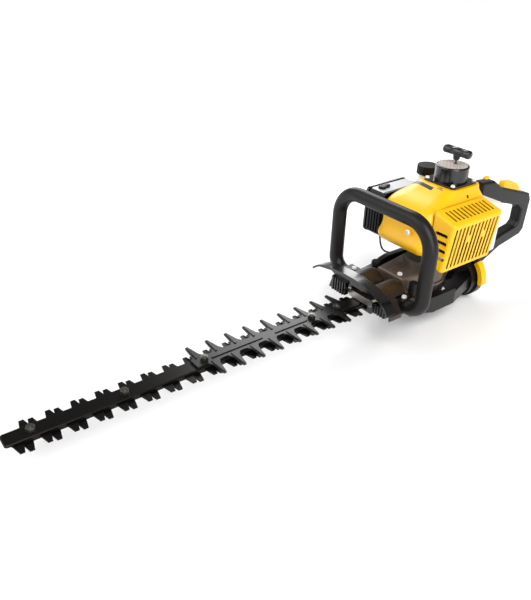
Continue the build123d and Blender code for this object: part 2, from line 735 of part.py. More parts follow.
with BuildPart() as air_box:
    with BuildSketch(Plane.XZ.offset(58)):
        with Locations(((AIR_BOX_FRONT + AIR_BOX_REAR) / 2, 190)):
            RectangleRounded(AIR_BOX_FRONT - AIR_BOX_REAR, 84, 9)
    extrude(amount=36)
    with BuildSketch(Plane.XZ.offset(57)):
        with Locations(((AIR_BOX_FRONT + AIR_BOX_REAR) / 2, 190)):
            RectangleRounded(AIR_BOX_FRONT - AIR_BOX_REAR - 5, 79, 7)
    extrude(amount=26, mode=Mode.SUBTRACT)
    with BuildSketch(Plane.XZ.offset(86)):
        with Locations(((AIR_BOX_FRONT + AIR_BOX_REAR) / 2, 190)):
            RectangleRounded(AIR_BOX_FRONT - AIR_BOX_REAR - 5, 79, 7)
    extrude(amount=20, mode=Mode.SUBTRACT)
    with BuildSketch(Plane.XZ.offset(80)):
        with Locations((56, CYLINDER_Z)):
            Circle(6)
    extrude(amount=20, mode=Mode.SUBTRACT)
    for number in range(5):
        with Locations((AIR_BOX_FRONT + 1.2, -62.5 - 6.5 * number, 186)):
            Box(3.6, 3.2, 62)
    with Locations((CABLE_EXIT[0], CABLE_EXIT[1], 149)):
        Cylinder(CABLE_RADIUS + 0.5, 10, mode=Mode.SUBTRACT)
keep(air_box, "air_box")

with BuildPart() as air_filter:
    with BuildSketch(Plane.XZ.offset(86.2)):
        with Locations(((AIR_BOX_FRONT + AIR_BOX_REAR) / 2, 190)):
            RectangleRounded(AIR_BOX_FRONT - AIR_BOX_REAR - 6, 78, 6)
    extrude(amount=7)
keep(air_filter, "air_filter")

with BuildPart() as air_filter_cover:
    with BuildSketch(Plane.XZ.offset(97)):
        with Locations(((AIR_BOX_FRONT + AIR_BOX_REAR) / 2, 190)):
            RectangleRounded(AIR_BOX_FRONT - AIR_BOX_REAR + 2, 86, 10)
    extrude(amount=6)
    fillet(air_filter_cover.faces().sort_by(Axis.Y)[0].edges(), 3)
    with BuildSketch(Plane.XZ.offset(96)):
        with Locations(((AIR_BOX_FRONT + AIR_BOX_REAR) / 2, 190)):
            RectangleRounded(AIR_BOX_FRONT - AIR_BOX_REAR - 4, 80, 7)
    extrude(amount=4.6, mode=Mode.SUBTRACT)
    with BuildSketch(Plane.XZ.offset(94.3)):
        with Locations(((AIR_BOX_FRONT + AIR_BOX_REAR) / 2, 190)):
            RectangleRounded(AIR_BOX_FRONT - AIR_BOX_REAR - 6, 78, 7)
            RectangleRounded(AIR_BOX_FRONT - AIR_BOX_REAR - 10, 74, 6, mode=Mode.SUBTRACT)
    extrude(amount=7)
keep(air_filter_cover, "air_filter_cover")

with BuildPart() as choke_lever:
    with BuildSketch(Plane.XY.offset(232.3)):
        with Locations((84, -79)):
            Circle(7)
        with Locations((77, -79)):
            SlotOverall(22, 8)
    extrude(amount=5)
    fillet(choke_lever.faces().sort_by(Axis.Z)[-1].edges(), 1.5)
keep(choke_lever, "choke_lever")

# ---------------------------------------------------------------- fuel tank
TANK_CAP = (-47.0, -90.0)
TANK_LOW = 124.0
TANK_HIGH = 218.0


def tank_form(inset):
    """L-shaped tank: a tall slab behind the engine and a lobe under the filler."""
    with BuildPart() as form:
        with BuildSketch(Plane.XY.offset(TANK_LOW + inset)) as plan:
            Polygon(
                (-80 + inset, 66 - inset),
                (-55.5 - inset, 66 - inset),
                (-55.5 - inset, -60 - inset),
                (-8 - inset, -60 - inset),
                (-8 - inset, -112 + inset),
                (-80 + inset, -112 + inset),
                align=None,
            )
            fillet(plan.vertices(), 10 - inset)
        extrude(amount=TANK_HIGH - TANK_LOW - 2 * inset)
        fillet(form.faces().sort_by(Axis.Z)[-1].edges(), 7 - inset)
        fillet(form.faces().sort_by(Axis.Z)[0].edges(), 7 - inset)
    return form.part


with BuildPart() as fuel_tank:
    add(tank_form(0))
    add(tank_form(SHELL), mode=Mode.SUBTRACT)
    with BuildSketch(Plane.XY.offset(TANK_HIGH - 2)):
        with Locations(TANK_CAP):
            Circle(16)
    extrude(amount=16)
    with BuildSketch(Plane.XY.offset(TANK_HIGH - 4)):
        with Locations(TANK_CAP):
            Circle(13)
    extrude(amount=20, mode=Mode.SUBTRACT)
keep(fuel_tank, "fuel_tank")

with BuildPart() as fuel_cap:
    with BuildSketch(Plane.XY.offset(232.3)):
        with Locations(TANK_CAP):
            Circle(19)
            with PolarLocations(19, 24):
                Circle(1.0)
    extrude(amount=16.5)
    with BuildSketch(Plane.XY.offset(228)):
        with Locations(TANK_CAP):
            Circle(12.6)
    extrude(amount=6)
keep(fuel_cap, "fuel_cap")

# ---------------------------------------------------------------- recoil starter
ROPE_PLACE = (-6.5, 0.0)
PULLEY_Z = 258.5
with BuildPart() as starter_housing:
    with BuildSketch(Plane.XY.offset(FLANGE_Z - 3.7)):
        RectangleRounded(FLANGE_SIDE, FLANGE_SIDE, 7)
    extrude(amount=3.7)
    with BuildSketch(Plane.XY.offset(FLANGE_Z)):
        Circle(DRUM_RADIUS)
    extrude(amount=DRUM_TOP - FLANGE_Z)
    fillet(starter_housing.faces().sort_by(Axis.Z)[-1].edges(), 2.5)
    with BuildSketch(Plane.XY.offset(FLANGE_Z - 4)):
        Circle(DRUM_RADIUS - 2.5)
    extrude(amount=DRUM_TOP - FLANGE_Z + 1.5, mode=Mode.SUBTRACT)
    with BuildSketch(Plane.XY.offset(FLANGE_Z)):
        Circle(3)
    extrude(amount=DRUM_TOP - FLANGE_Z - 1)
    with Locations((ROPE_PLACE[0], ROPE_PLACE[1], DRUM_TOP)):
        Hole(2.3, depth=5)
    with Locations((0, 0, FLANGE_Z)):
        with GridLocations(FLANGE_SIDE - 11, FLANGE_SIDE - 11, 2, 2):
            Hole(2.1, depth=6)
keep(starter_housing, "starter_housing")

with BuildPart() as starter_pulley:
    with BuildSketch(Plane.XY.offset(PULLEY_Z)):
        Circle(23)
        Circle(3 + FIT, mode=Mode.SUBTRACT)
    extrude(amount=8)
    with BuildSketch(Plane.XY.offset(PULLEY_Z + 2)):
        Circle(24)
        Circle(19, mode=Mode.SUBTRACT)
    extrude(amount=4, mode=Mode.SUBTRACT)
keep(starter_pulley, "starter_pulley")

with BuildPart() as recoil_spring:
    for radius in (12, 15, 18, 21):
        with BuildSketch(Plane.XY.offset(PULLEY_Z + 9)):
            Circle(radius)
            Circle(radius - 1, mode=Mode.SUBTRACT)
        extrude(amount=6)
keep(recoil_spring, "recoil_spring")

ROPE_LOW = 268.0
with BuildPart() as starter_rope:
    with BuildSketch(Plane((ROPE_PLACE[0], ROPE_PLACE[1], ROPE_LOW))):
        Circle(1.6)
    extrude(amount=296 - ROPE_LOW)
keep(starter_rope, "starter_rope")

GRIP_Z = 305.0
with BuildPart() as starter_grip:
    with BuildSketch(Plane.XZ.offset(-28)):
        with Locations((ROPE_PLACE[0], GRIP_Z)):
            Ellipse(8.5, 7.5)
    extrude(amount=56)
    fillet(starter_grip.edges(), 5)
    with BuildSketch(Plane((ROPE_PLACE[0], ROPE_PLACE[1], 291))):
        Circle(4.5)
    extrude(amount=14, taper=-12)
    with BuildSketch(Plane((ROPE_PLACE[0], ROPE_PLACE[1], 290))):
        Circle(1.65)
    extrude(amount=6.1, mode=Mode.SUBTRACT)
keep(starter_grip, "starter_grip")

# ---------------------------------------------------------------- chassis
def rail(y_low, y_high, profile):
    """One side rail of the chassis, as a side profile given a width."""
    with BuildPart() as side:
        with BuildSketch(Plane.XZ.offset(-y_high)):
            Polygon(*profile, align=None)
        extrude(amount=y_high - y_low)
    return side.part


NEAR_RAIL = [(4, 34), (60, 33), (100, 44), (146, 76), (172, 76), (172, 100), (146, 100), (96, 66), (4, 65)]
FAR_RAIL = [(4, 34), (60, 33), (100, 44), (146, 76), (172, 76), (172, 99), (146, 97), (110, 101), (96, 109),
            (82, 112), (40, 112), (4, 100)]
RAIL_OUT = 56.0
RAIL_IN = 46.0
HUB_FACE = -66.0  # front face of the fixed disc that the rear handle turns against
PIVOT_TUBE = 10.0
HANDLE_GAP_FACE = -81.0
CABLE_END = (-73.0, 0.0)  # where the throttle cable enters the fixed disc
with BuildPart() as chassis:
    add(rail(RAIL_IN, RAIL_OUT, NEAR_RAIL))
    add(rail(-RAIL_OUT, -RAIL_IN, FAR_RAIL))
    with BuildSketch(Plane.XZ.offset(-RAIL_IN)):
        Polygon((4, 34), (60, 33), (90, 38), (90, 43), (4, 43), align=None)
    extrude(amount=2 * RAIL_IN)
    with Locations((21, 0, 18)):
        Box(82, 18, 36)
    for side in (1, -1):
        with Locations((159, side * 60, LOOP_FOOT)):
            Box(26, 28, 26)
        with BuildSketch(Plane.XZ.offset(-90 if side > 0 else 52)):
            with Locations((LOOP_X, LOOP_FOOT)):
                Circle(LOOP_RADIUS + FIT)
        extrude(amount=38, mode=Mode.SUBTRACT)
        with BuildSketch(Plane.XY.offset(34)):
            arm = [(HUB_FACE - 4, 8), (HUB_FACE - 4, 34), (-40, 42), (4, 56), (20, 56), (20, 44), (-20, 28), (-44, 12)]
            Polygon(*[(x, side * y) for x, y in arm], align=None)
        extrude(amount=24)
    with BuildSketch(Plane.YZ.offset(HUB_FACE)):
        with Locations((0, PIVOT_Z)):
            Circle(PIVOT_RADIUS - 4)
    extrude(amount=HANDLE_GAP_FACE - HUB_FACE)
    with BuildSketch(Plane.YZ.offset(-95)):
        with Locations((0, PIVOT_Z)):
            Circle(PIVOT_TUBE)
    extrude(amount=30)
    with Locations((CABLE_END[0], CABLE_END[1], 90)):
        Cylinder(CABLE_RADIUS + 0.5, 32, mode=Mode.SUBTRACT)
keep(chassis, "chassis")

with BuildPart() as antivibration_mounts:
    for side, low, height in ((1, 84.6, 22), (-1, 102.6, 9)):
        with BuildSketch(Plane((114, side * 46, low))):
            Circle(8)
        extrude(amount=height)
    fillet(antivibration_mounts.faces().group_by(Axis.Z)[-1].edges(), 3.5)
keep(antivibration_mounts, "antivibration_mounts")

# ---------------------------------------------------------------- front loop handle
FOOT_Y = 54.0
loop_points = [
    (LOOP_X, FOOT_Y, LOOP_FOOT),
    (LOOP_X, LOOP_HALF, LOOP_FOOT),
    (LOOP_X, LOOP_HALF, LOOP_TOP),
    (LOOP_X, -LOOP_HALF, LOOP_TOP),
    (LOOP_X, -LOOP_HALF, LOOP_FOOT),
    (LOOP_X, -FOOT_Y, LOOP_FOOT),
]
with BuildPart() as front_handle:
    with BuildLine() as loop_path:
        FilletPolyline(*loop_points, radius=[26, 46, 46, 26])
    with BuildSketch(Plane(loop_points[0], z_dir=(0, 1, 0))):
        Circle(LOOP_RADIUS)
        Circle(LOOP_RADIUS - 3, mode=Mode.SUBTRACT)
    sweep(path=loop_path.wire())
keep(front_handle, "front_handle")

# ---------------------------------------------------------------- hand guard and hood
GUARD_ARCH = [(-93, 110), (-68, 125), (-31, 130.5), (12, 132), (53, 125), (77, 115), (92, 99)]
GUARD_INNER = [(-90.5, 108), (-66.5, 122), (-30.5, 127.4), (11.5, 128.8), (51.5, 122), (74.5, 112.3), (88.5, 98)]
GUARD_REAR_X = 205.4
with BuildPart() as hand_guard:
    with BuildSketch(Plane.YZ.offset(209)):
        with BuildLine():
            Spline(*GUARD_ARCH)
            Line(GUARD_ARCH[-1], GUARD_INNER[-1])
            Spline(*reversed(GUARD_INNER))
            Line(GUARD_INNER[0], GUARD_ARCH[0])
        make_face()
    extrude(amount=17)
    with BuildSketch(Plane.YZ.offset(GUARD_REAR_X)):
        with BuildLine():
            Spline(*GUARD_ARCH)
            Line(GUARD_ARCH[-1], (80, 86))
            Polyline((80, 86), (66, 86), (58, 106), (-42, 106), (-62, 112), (-93, 106), (-93, 110))
        make_face()
    extrude(amount=3.6)
    for y, z, width, height in ((-36, 95, 34, 24), (62, 92, 30, 16)):
        with Locations((GUARD_REAR_X + 4.5, y, z)):
            Box(9, width, height)
        for number in range(5):
            with Locations((GUARD_REAR_X + 9.5, y + (number - 2) * 6, z)):
                Box(3, 2.4, height)
keep(hand_guard, "hand_guard")

HOOD_REAR = 136.0
HOOD_FRONT = 204.0


def hump(y, z, radius):
    """A cylinder along X with a domed rear end."""
    dome = 16
    with BuildPart() as form:
        with BuildSketch(Plane.XY):
            with BuildLine():
                Line((HOOD_REAR, 0), (HOOD_REAR, radius - dome))
                RadiusArc((HOOD_REAR, radius - dome), (HOOD_REAR + dome, radius), dome)
                Polyline((HOOD_REAR + dome, radius), (HOOD_FRONT, radius), (HOOD_FRONT, 0), (HOOD_REAR, 0))
            make_face()
        revolve(axis=Axis.X)
    return form.part.moved(Location((0, y, z)))


HUMPS = ((-18, 92, 26), (36, 88, 29))  # Y, Z and radius of the two humps
with BuildPart() as hood:
    with BuildSketch(Plane.YZ.offset(HOOD_REAR + 40)):
        Polygon((-70, 76), (-60, 104), (62, 104), (80, 84), (80, 76), align=None)
    extrude(amount=HOOD_FRONT - HOOD_REAR - 40)
    for y, z, radius in HUMPS:
        add(hump(y, z, radius))
    with BuildSketch(Plane.YZ.offset(HOOD_REAR + 40 + SHELL)):
        Polygon((-67, 70), (-58, 101.5), (60, 101.5), (77, 83), (77, 70), align=None)
    extrude(amount=HOOD_FRONT - HOOD_REAR, mode=Mode.SUBTRACT)
    for y, z, radius in HUMPS:
        add(hump(y, z, radius - SHELL).moved(Location((SHELL, 0, 0))), mode=Mode.SUBTRACT)
    with Locations((HOOD_FRONT, 0, 58)):
        Box(200, 240, 36, mode=Mode.SUBTRACT)
    with Locations((164, 6, 82)):
        Box(88, 64, 22, mode=Mode.SUBTRACT)
    for side in (1, -1):
        with Locations((152.8, side * 57.5, 87)):
            Box(45.4, 29, 35, mode=Mode.SUBTRACT)
keep(hood, "hood")

# ---------------------------------------------------------------- rear handle
HANDLE_FRONT = -84.0
HUB_REAR = -98.0
HUB_THICK = 16.0


def handle_half(sign, name):
    """One moulded half of the D-shaped rear handle, with half of the turning hub."""
    with BuildPart() as piece:
        with BuildSketch(Plane.XZ.offset(-0.1 * sign)):
            Polygon(
                (HANDLE_FRONT, 56),
                (HANDLE_FRONT, 236),
                (-122, 232),
                (-150, 214),
                (-214, 193),
                (-248, 182),
                (-256, 168),
                (-254, 104),
                (-244, 94),
                (-180, 82),
                (-130, 60),
                (-110, 30),
                (-96, 16),
                (HANDLE_FRONT, 16),
                align=None,
            )
            Polygon(
                (-104, 110),
                (-104, 188),
                (-124, 196),
                (-160, 180),
                (-216, 163),
                (-229, 152),
                (-229, 124),
                (-222, 117),
                (-180, 110),
                (-136, 98),
                (-112, 98),
                align=None,
                mode=Mode.SUBTRACT,
            )
        extrude(amount=-sign * (HANDLE_HALF - 0.1))
        outer_face = piece.faces().filter_by(Plane.XZ).sort_by(Axis.Y)[-1 if sign > 0 else 0]
        fillet(outer_face.edges(), 5)
        with BuildSketch(Plane.YZ.offset(HUB_REAR)):
            with Locations((0, PIVOT_Z)):
                Circle(PIVOT_RADIUS)
            with Locations((-sign * 50 + sign * 0.1, PIVOT_Z)):
                Rectangle(100, 120, mode=Mode.SUBTRACT)
        extrude(amount=HUB_THICK)
        with BuildSketch(Plane.YZ.offset(-140)):
            with Locations((0, PIVOT_Z)):
                Circle(PIVOT_TUBE + 0.3)
        extrude(amount=100, mode=Mode.SUBTRACT)
        with BuildSketch(Plane.XZ.offset(-6.3 * sign)):
            Polygon((-157, 240), (-157, 196), (-166, 192), (-219, 175), (-219, 240), align=None)
            Polygon((-124, 209), (-124, 150), (-164, 150), (-164, 203), (-157, 209), align=None)
        extrude(amount=sign * 8, mode=Mode.SUBTRACT)
    keep(piece, name)


handle_half(1, "rear_handle_left")
handle_half(-1, "rear_handle_right")

with BuildPart() as throttle_lockout:
    with BuildSketch(Plane.XZ.offset(-6)):
        Polygon((-158, 208), (-161, 221), (-188, 217), (-205, 209), (-217, 196), (-214, 190), (-160, 205), align=None)
        with Locations((-212, 194)):
            Circle(4.2)
    extrude(amount=12)
keep(throttle_lockout, "throttle_lockout")

with BuildPart() as throttle_trigger:
    with BuildSketch(Plane.XZ.offset(-5)):
        Polygon((-126, 200), (-134, 172), (-148, 160), (-153, 165), (-148, 184), (-158, 196), (-150, 201), align=None)
        with Locations((-128.2, 198)):
            Circle(3.6)
    extrude(amount=10)
keep(throttle_trigger, "throttle_trigger")

with BuildPart() as stop_switch:
    with Locations((-106, 0, 238.6)):
        Box(12, 8, 5)
    fillet(stop_switch.edges(), 1.5)
keep(stop_switch, "stop_switch")

with BuildPart() as lock_lever:
    with BuildSketch(Plane.YZ.offset(-92)):
        with Locations((0, PIVOT_Z)):
            Circle(PIVOT_RADIUS + 10)
            Circle(PIVOT_RADIUS + 0.6, mode=Mode.SUBTRACT)
        wedge = [(0, PIVOT_Z), (80, PIVOT_Z), (80, PIVOT_Z + 85), (74, PIVOT_Z + 85)]
        Polygon(*wedge, align=None, mode=Mode.INTERSECT)
        with Locations((PIVOT_RADIUS + 5.3, PIVOT_Z)):
            Circle(4.4)
    extrude(amount=14)
keep(lock_lever, "lock_lever")

# ---------------------------------------------------------------- cable and screws
def tangent_radii(points):
    """The largest bend radius that fits at each inner corner of a run of points."""
    radii = []
    for before, corner, after in zip(points, points[1:], points[2:]):
        first, second = Vector(*corner) - Vector(*before), Vector(*after) - Vector(*corner)
        half_turn = math.radians(first.get_angle(second)) / 2
        radii.append(0.45 * min(first.length, second.length) / math.tan(half_turn))
    return radii


cable_points = [
    (CABLE_EXIT[0], CABLE_EXIT[1], 176),
    (CABLE_EXIT[0], CABLE_EXIT[1], 136),
    (72, -63, 104),
    (-4, -62, 96),
    (-36, -54, 108),
    (CABLE_END[0], CABLE_END[1], 120),
    (CABLE_END[0], CABLE_END[1], 77),
]
with BuildPart() as throttle_cable:
    with BuildLine() as cable_path:
        FilletPolyline(*cable_points, radius=tangent_radii(cable_points))
    with BuildSketch(Plane(cable_points[0], z_dir=(0, 0, -1))):
        Circle(CABLE_RADIUS)
    sweep(path=cable_path.wire())
keep(throttle_cable, "throttle_cable")
print("cable radii", [round(radius, 1) for radius in tangent_radii(cable_points)])
print("cable length", round(cable_path.wire().length, 1), "volume", round(throttle_cable.part.volume, 1))

with BuildPart() as screws:
    for x in (-1, 1):
        for y in (-1, 1):
            with BuildSketch(Plane((x * (FLANGE_SIDE - 11) / 2, y * (FLANGE_SIDE - 11) / 2, FLANGE_Z))):
                Circle(4)
            extrude(amount=2.6)
            with BuildSketch(Plane((x * (FLANGE_SIDE - 11) / 2, y * (FLANGE_SIDE - 11) / 2, FLANGE_Z - 3.6))):
                Circle(2)
            extrude(amount=3.6)
    with BuildSketch(Plane.YZ.offset(113.8)):
        with Locations((16, 190)):
            Circle(5)
    extrude(amount=2.8)
    for x, y, low in ((118, 16, GEARCASE_TOP + 0.3), (64, 30, GEARCASE_TOP + 0.3), (159, 66, 101.3), (156, -58, 101.3)):
        with BuildSketch(Plane((x, y, low))):
            RegularPolygon(4.4, 6)
        extrude(amount=3.4)
keep(screws, "screws")
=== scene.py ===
# %% [markdown]
# # A petrol hedge trimmer, finished in Blender
# The exact parts come from the imported model: castings, blades, covers, handles and every hidden gear.
# This lesson gives them their real finishes and adds the small things that CAD leaves plain: screw
# heads, a ribbed starter handle, a braided rope, a smooth cable and a plain label. Lengths are
# metres, +X runs along the blades, +Y is the muffler side and +Z is up.

import math

import bmesh
import bpy
from mathutils import Matrix, Vector


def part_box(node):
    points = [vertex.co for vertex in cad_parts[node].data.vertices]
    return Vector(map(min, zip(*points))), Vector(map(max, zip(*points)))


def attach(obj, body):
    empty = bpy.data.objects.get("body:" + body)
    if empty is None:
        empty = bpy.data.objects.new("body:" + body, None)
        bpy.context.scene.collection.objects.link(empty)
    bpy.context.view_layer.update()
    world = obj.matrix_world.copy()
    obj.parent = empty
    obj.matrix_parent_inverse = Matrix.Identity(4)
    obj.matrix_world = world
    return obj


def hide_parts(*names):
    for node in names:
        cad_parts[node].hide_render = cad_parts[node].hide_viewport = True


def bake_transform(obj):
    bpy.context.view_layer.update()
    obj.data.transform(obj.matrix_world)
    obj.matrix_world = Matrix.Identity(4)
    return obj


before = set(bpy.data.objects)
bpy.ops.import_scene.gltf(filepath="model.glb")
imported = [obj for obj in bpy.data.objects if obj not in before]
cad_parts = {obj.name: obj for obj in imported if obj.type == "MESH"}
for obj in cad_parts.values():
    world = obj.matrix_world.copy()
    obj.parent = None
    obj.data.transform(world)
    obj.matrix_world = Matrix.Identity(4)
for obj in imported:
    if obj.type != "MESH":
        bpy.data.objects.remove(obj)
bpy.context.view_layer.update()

# %% [markdown]
# Every finish below is a node tree. Two helpers keep them readable. One turns the usual sRGB hex
# colour into the linear numbers that a shader wants. The other adds any node with its settings and
# its incoming links, so a tree reads as a list of what feeds what.

# %% Helpers for node trees
MM = 0.001


def linear(hex_colour):
    """Linear RGBA of an sRGB hex colour such as #ffcc00."""
    values = [int(hex_colour[i : i + 2], 16) / 255 for i in (1, 3, 5)]
    return tuple(v / 12.92 if v <= 0.04045 else ((v + 0.055) / 1.055) ** 2.4 for v in values) + (1.0,)


def add_node(tree, kind, settings=None, links=None):
    """Add a node, set its properties or sockets, and link sources into its inputs."""
    node = tree.nodes.new(kind)
    for key, value in (settings or {}).items():
        if isinstance(key, str) and hasattr(node, key):
            setattr(node, key, value)
        else:
            node.inputs[key].default_value = value
    for socket, source in (links or {}).items():
        tree.links.new(source, node.inputs[socket])
    return node


def moulded(name, base, variant, roughness, metallic=0.0, grain_mm=0.6, grain_depth=0.04, patch_mm=60,
            edge_mm=0.6, coat=0.0, ior=1.5, stretch=(1, 1, 1), rough_spread=0.12, gloss=0.5):
    """A finish with slow colour patches, a fine surface grain and softly rounded edges."""
    material = bpy.data.materials.new(name)
    material.use_nodes = True
    tree = material.node_tree
    tree.nodes.clear()
    place = add_node(tree, "ShaderNodeTexCoord")
    spread = add_node(tree, "ShaderNodeMapping", {"Scale": stretch}, {"Vector": place.outputs["Object"]})
    patches = add_node(tree, "ShaderNodeTexNoise", {"Scale": 1 / (patch_mm * MM), "Detail": 3.0},
                       {"Vector": place.outputs["Object"]})
    tint = add_node(tree, "ShaderNodeMix", {"data_type": "RGBA", 6: linear(base), 7: linear(variant)},
                    {0: patches.outputs["Fac"]})
    grain = add_node(tree, "ShaderNodeTexNoise", {"Scale": 1 / (grain_mm * MM), "Detail": 2.0},
                     {"Vector": spread.outputs["Vector"]})
    dull = add_node(tree, "ShaderNodeMapRange", {"To Min": max(0.03, roughness - rough_spread / 2),
                                                 "To Max": roughness + rough_spread / 2},
                    {"Value": grain.outputs["Fac"]})
    edge = add_node(tree, "ShaderNodeBevel", {"samples": 4, "Radius": edge_mm * MM})
    bump = add_node(tree, "ShaderNodeBump", {"Strength": grain_depth * 5, "Distance": 0.1 * MM},
                    {"Height": grain.outputs["Fac"], "Normal": edge.outputs["Normal"]})
    shader = add_node(tree, "ShaderNodeBsdfPrincipled",
                      {"Metallic": metallic, "IOR": ior, "Coat Weight": coat, "Coat Roughness": 0.1,
                       "Specular IOR Level": gloss},
                      {"Base Color": tint.outputs[2], "Roughness": dull.outputs["Result"],
                       "Normal": bump.outputs["Normal"]})
    add_node(tree, "ShaderNodeOutputMaterial", None, {"Surface": shader.outputs["BSDF"]})
    return material


# %% [markdown]
# The covers are glossy injection-moulded ABS in a warm yellow. ABS reflects like any plastic (IOR
# about 1.54), and its skin is smooth but never perfect: a faint waviness of about a millimetre keeps
# the highlights alive. Black glass-filled nylon is duller and slightly grainy. The hood is a
# brown-black ABS with a semi-gloss skin. All the blacks are nearly black in colour, because what
# lightens a black moulding is only its reflections.

# %% Moulded plastics
yellow_abs = moulded("yellow_abs", "#f4b600", "#f9bf00", 0.34, grain_mm=1.4, grain_depth=0.01, coat=0.08,
                     ior=1.54, gloss=0.4)
black_nylon = moulded("black_glass_filled_nylon", "#0b0a0a", "#110f0f", 0.36, grain_mm=0.5, grain_depth=0.05,
                      gloss=0.32)
brown_abs = moulded("brown_black_abs", "#1c120e", "#241812", 0.36, grain_mm=1.2, grain_depth=0.015, ior=1.54)
gloss_black_abs = moulded("gloss_black_abs", "#080808", "#0d0c0c", 0.2, grain_mm=1.0, grain_depth=0.012,
                          coat=0.3)
print("moulded plastics", len(bpy.data.materials))

# %% [markdown]
# Rubber, foam and rope scatter light instead of mirroring it, so they are rough and finely pitted.
# The loop handle wears a sleeve of dense rubber. The tank is translucent polyethylene, drawn opaque
# and faintly waxy.

# %% Rubber, foam, rope and polyethylene
grip_rubber = moulded("loop_sleeve_rubber", "#0e0c0b", "#151211", 0.42, grain_mm=0.9, grain_depth=0.05,
                      patch_mm=35, gloss=0.3)
soft_rubber = moulded("soft_black_rubber", "#0c0b0b", "#131212", 0.6, grain_mm=0.7, grain_depth=0.07,
                      gloss=0.3)
filter_foam = moulded("oiled_filter_foam", "#3a3832", "#4a463c", 0.9, grain_mm=1.6, grain_depth=0.3)
nylon_rope = moulded("braided_nylon_rope", "#2a2725", "#4a4642", 0.8, grain_mm=0.8, grain_depth=0.25)
tank_polyethylene = moulded("tank_polyethylene", "#eceae4", "#dfddd6", 0.36, grain_mm=1.5, grain_depth=0.03)
print("with rubber, foam, rope and polyethylene", len(bpy.data.materials))

# %% [markdown]
# Metals. The gearcase lid is die-cast aluminium under a brown-grey heat-proof paint, with a sand-like
# grain. The engine castings are bare. The blades are heat-treated carbon steel, blackened, with fine
# grinding lines across them. Fasteners are bright zinc. Metals keep the default IOR.

# %% Metals
cast_aluminium = moulded("die_cast_aluminium", "#8f8a84", "#a39e97", 0.42, metallic=1.0, grain_mm=0.8,
                         grain_depth=0.12, patch_mm=30)
lid_paint = moulded("painted_gearcase_lid", "#5a4e44", "#6a5c50", 0.4, metallic=0.3, grain_mm=0.9,
                    grain_depth=0.1, patch_mm=30)
blade_steel = moulded("blackened_blade_steel", "#23201e", "#171514", 0.32, metallic=0.8, grain_mm=0.6,
                      grain_depth=0.05, stretch=(4, 0.4, 1), patch_mm=25)
guard_steel = moulded("painted_guard_steel", "#121010", "#1a1717", 0.34, metallic=0.3, grain_mm=0.6,
                      grain_depth=0.04)
machined_steel = moulded("machined_steel", "#8f8f90", "#7a7b7d", 0.3, metallic=1.0, grain_mm=0.5,
                         grain_depth=0.04, stretch=(1, 1, 5))
zinc_plate = moulded("zinc_plated_steel", "#7b7a75", "#63625e", 0.34, metallic=1.0, grain_mm=0.8,
                     grain_depth=0.05)
muffler_sheet = moulded("heat_stained_sheet", "#2a221c", "#17120f", 0.6, metallic=0.5, grain_mm=1.0,
                        grain_depth=0.1, patch_mm=15)
brass = moulded("machined_brass", "#c29a4c", "#a98239", 0.3, metallic=1.0, grain_mm=0.5, grain_depth=0.04)
print("with metals", len(bpy.data.materials))

# %% [markdown]
# Some finishes change from one place to another on the same moulding: a printed mark, painted shade
# in a screw hole, a bare machined nose, a painted sky reflection on a lid's top. Each is a mask made
# from Object coordinates in metres. A mask is a box with its own centre and half sizes: the largest of
# the three scaled distances is below one inside it. The box may lean, so that a printed bar has slanted ends.

# %% Masks that mix a second colour into a finish
def inside_box(tree, centre, half, lean=0.0):
    """A 0 to 1 mask, one inside a box of half sizes in millimetres that leans in X as Y grows."""
    place = add_node(tree, "ShaderNodeTexCoord")
    parts = add_node(tree, "ShaderNodeSeparateXYZ", None, {0: place.outputs["Object"]})
    leaning = add_node(tree, "ShaderNodeMath", {"operation": "MULTIPLY_ADD", 1: -lean},
                       {0: parts.outputs["Y"], 2: parts.outputs["X"]})
    reach = []
    sources = (leaning.outputs[0], parts.outputs["Y"], parts.outputs["Z"])
    for source, middle, size in zip(sources, centre, half):
        away = add_node(tree, "ShaderNodeMath", {"operation": "SUBTRACT", 1: middle * MM}, {0: source})
        scaled = add_node(tree, "ShaderNodeMath", {"operation": "DIVIDE", 1: size * MM}, {0: away.outputs[0]})
        reach.append(add_node(tree, "ShaderNodeMath", {"operation": "ABSOLUTE"}, {0: scaled.outputs[0]}))
    widest = add_node(tree, "ShaderNodeMath", {"operation": "MAXIMUM"},
                      {0: reach[0].outputs[0], 1: reach[1].outputs[0]})
    widest = add_node(tree, "ShaderNodeMath", {"operation": "MAXIMUM"},
                      {0: widest.outputs[0], 1: reach[2].outputs[0]})
    inside = add_node(tree, "ShaderNodeMath", {"operation": "LESS_THAN", 1: 1.0}, {0: widest.outputs[0]})
    return inside.outputs[0]


def principled(tree):
    """The tree's surface shader."""
    return next(node for node in tree.nodes if node.type == "BSDF_PRINCIPLED")


def tint_surface(tree, mask, low_colour=None, high_colour=None):
    """Mix a colour with the surface's own colour by a mask, as the mask's 0 end or its 1 end."""
    socket = principled(tree).inputs["Base Color"]
    own = socket.links[0].from_socket
    if high_colour:
        mix = add_node(tree, "ShaderNodeMix", {"data_type": "RGBA", 7: linear(high_colour)},
                       {0: mask, 6: own})
    else:
        mix = add_node(tree, "ShaderNodeMix", {"data_type": "RGBA", 6: linear(low_colour)},
                       {0: mask, 7: own})
    tree.links.new(mix.outputs[2], socket)


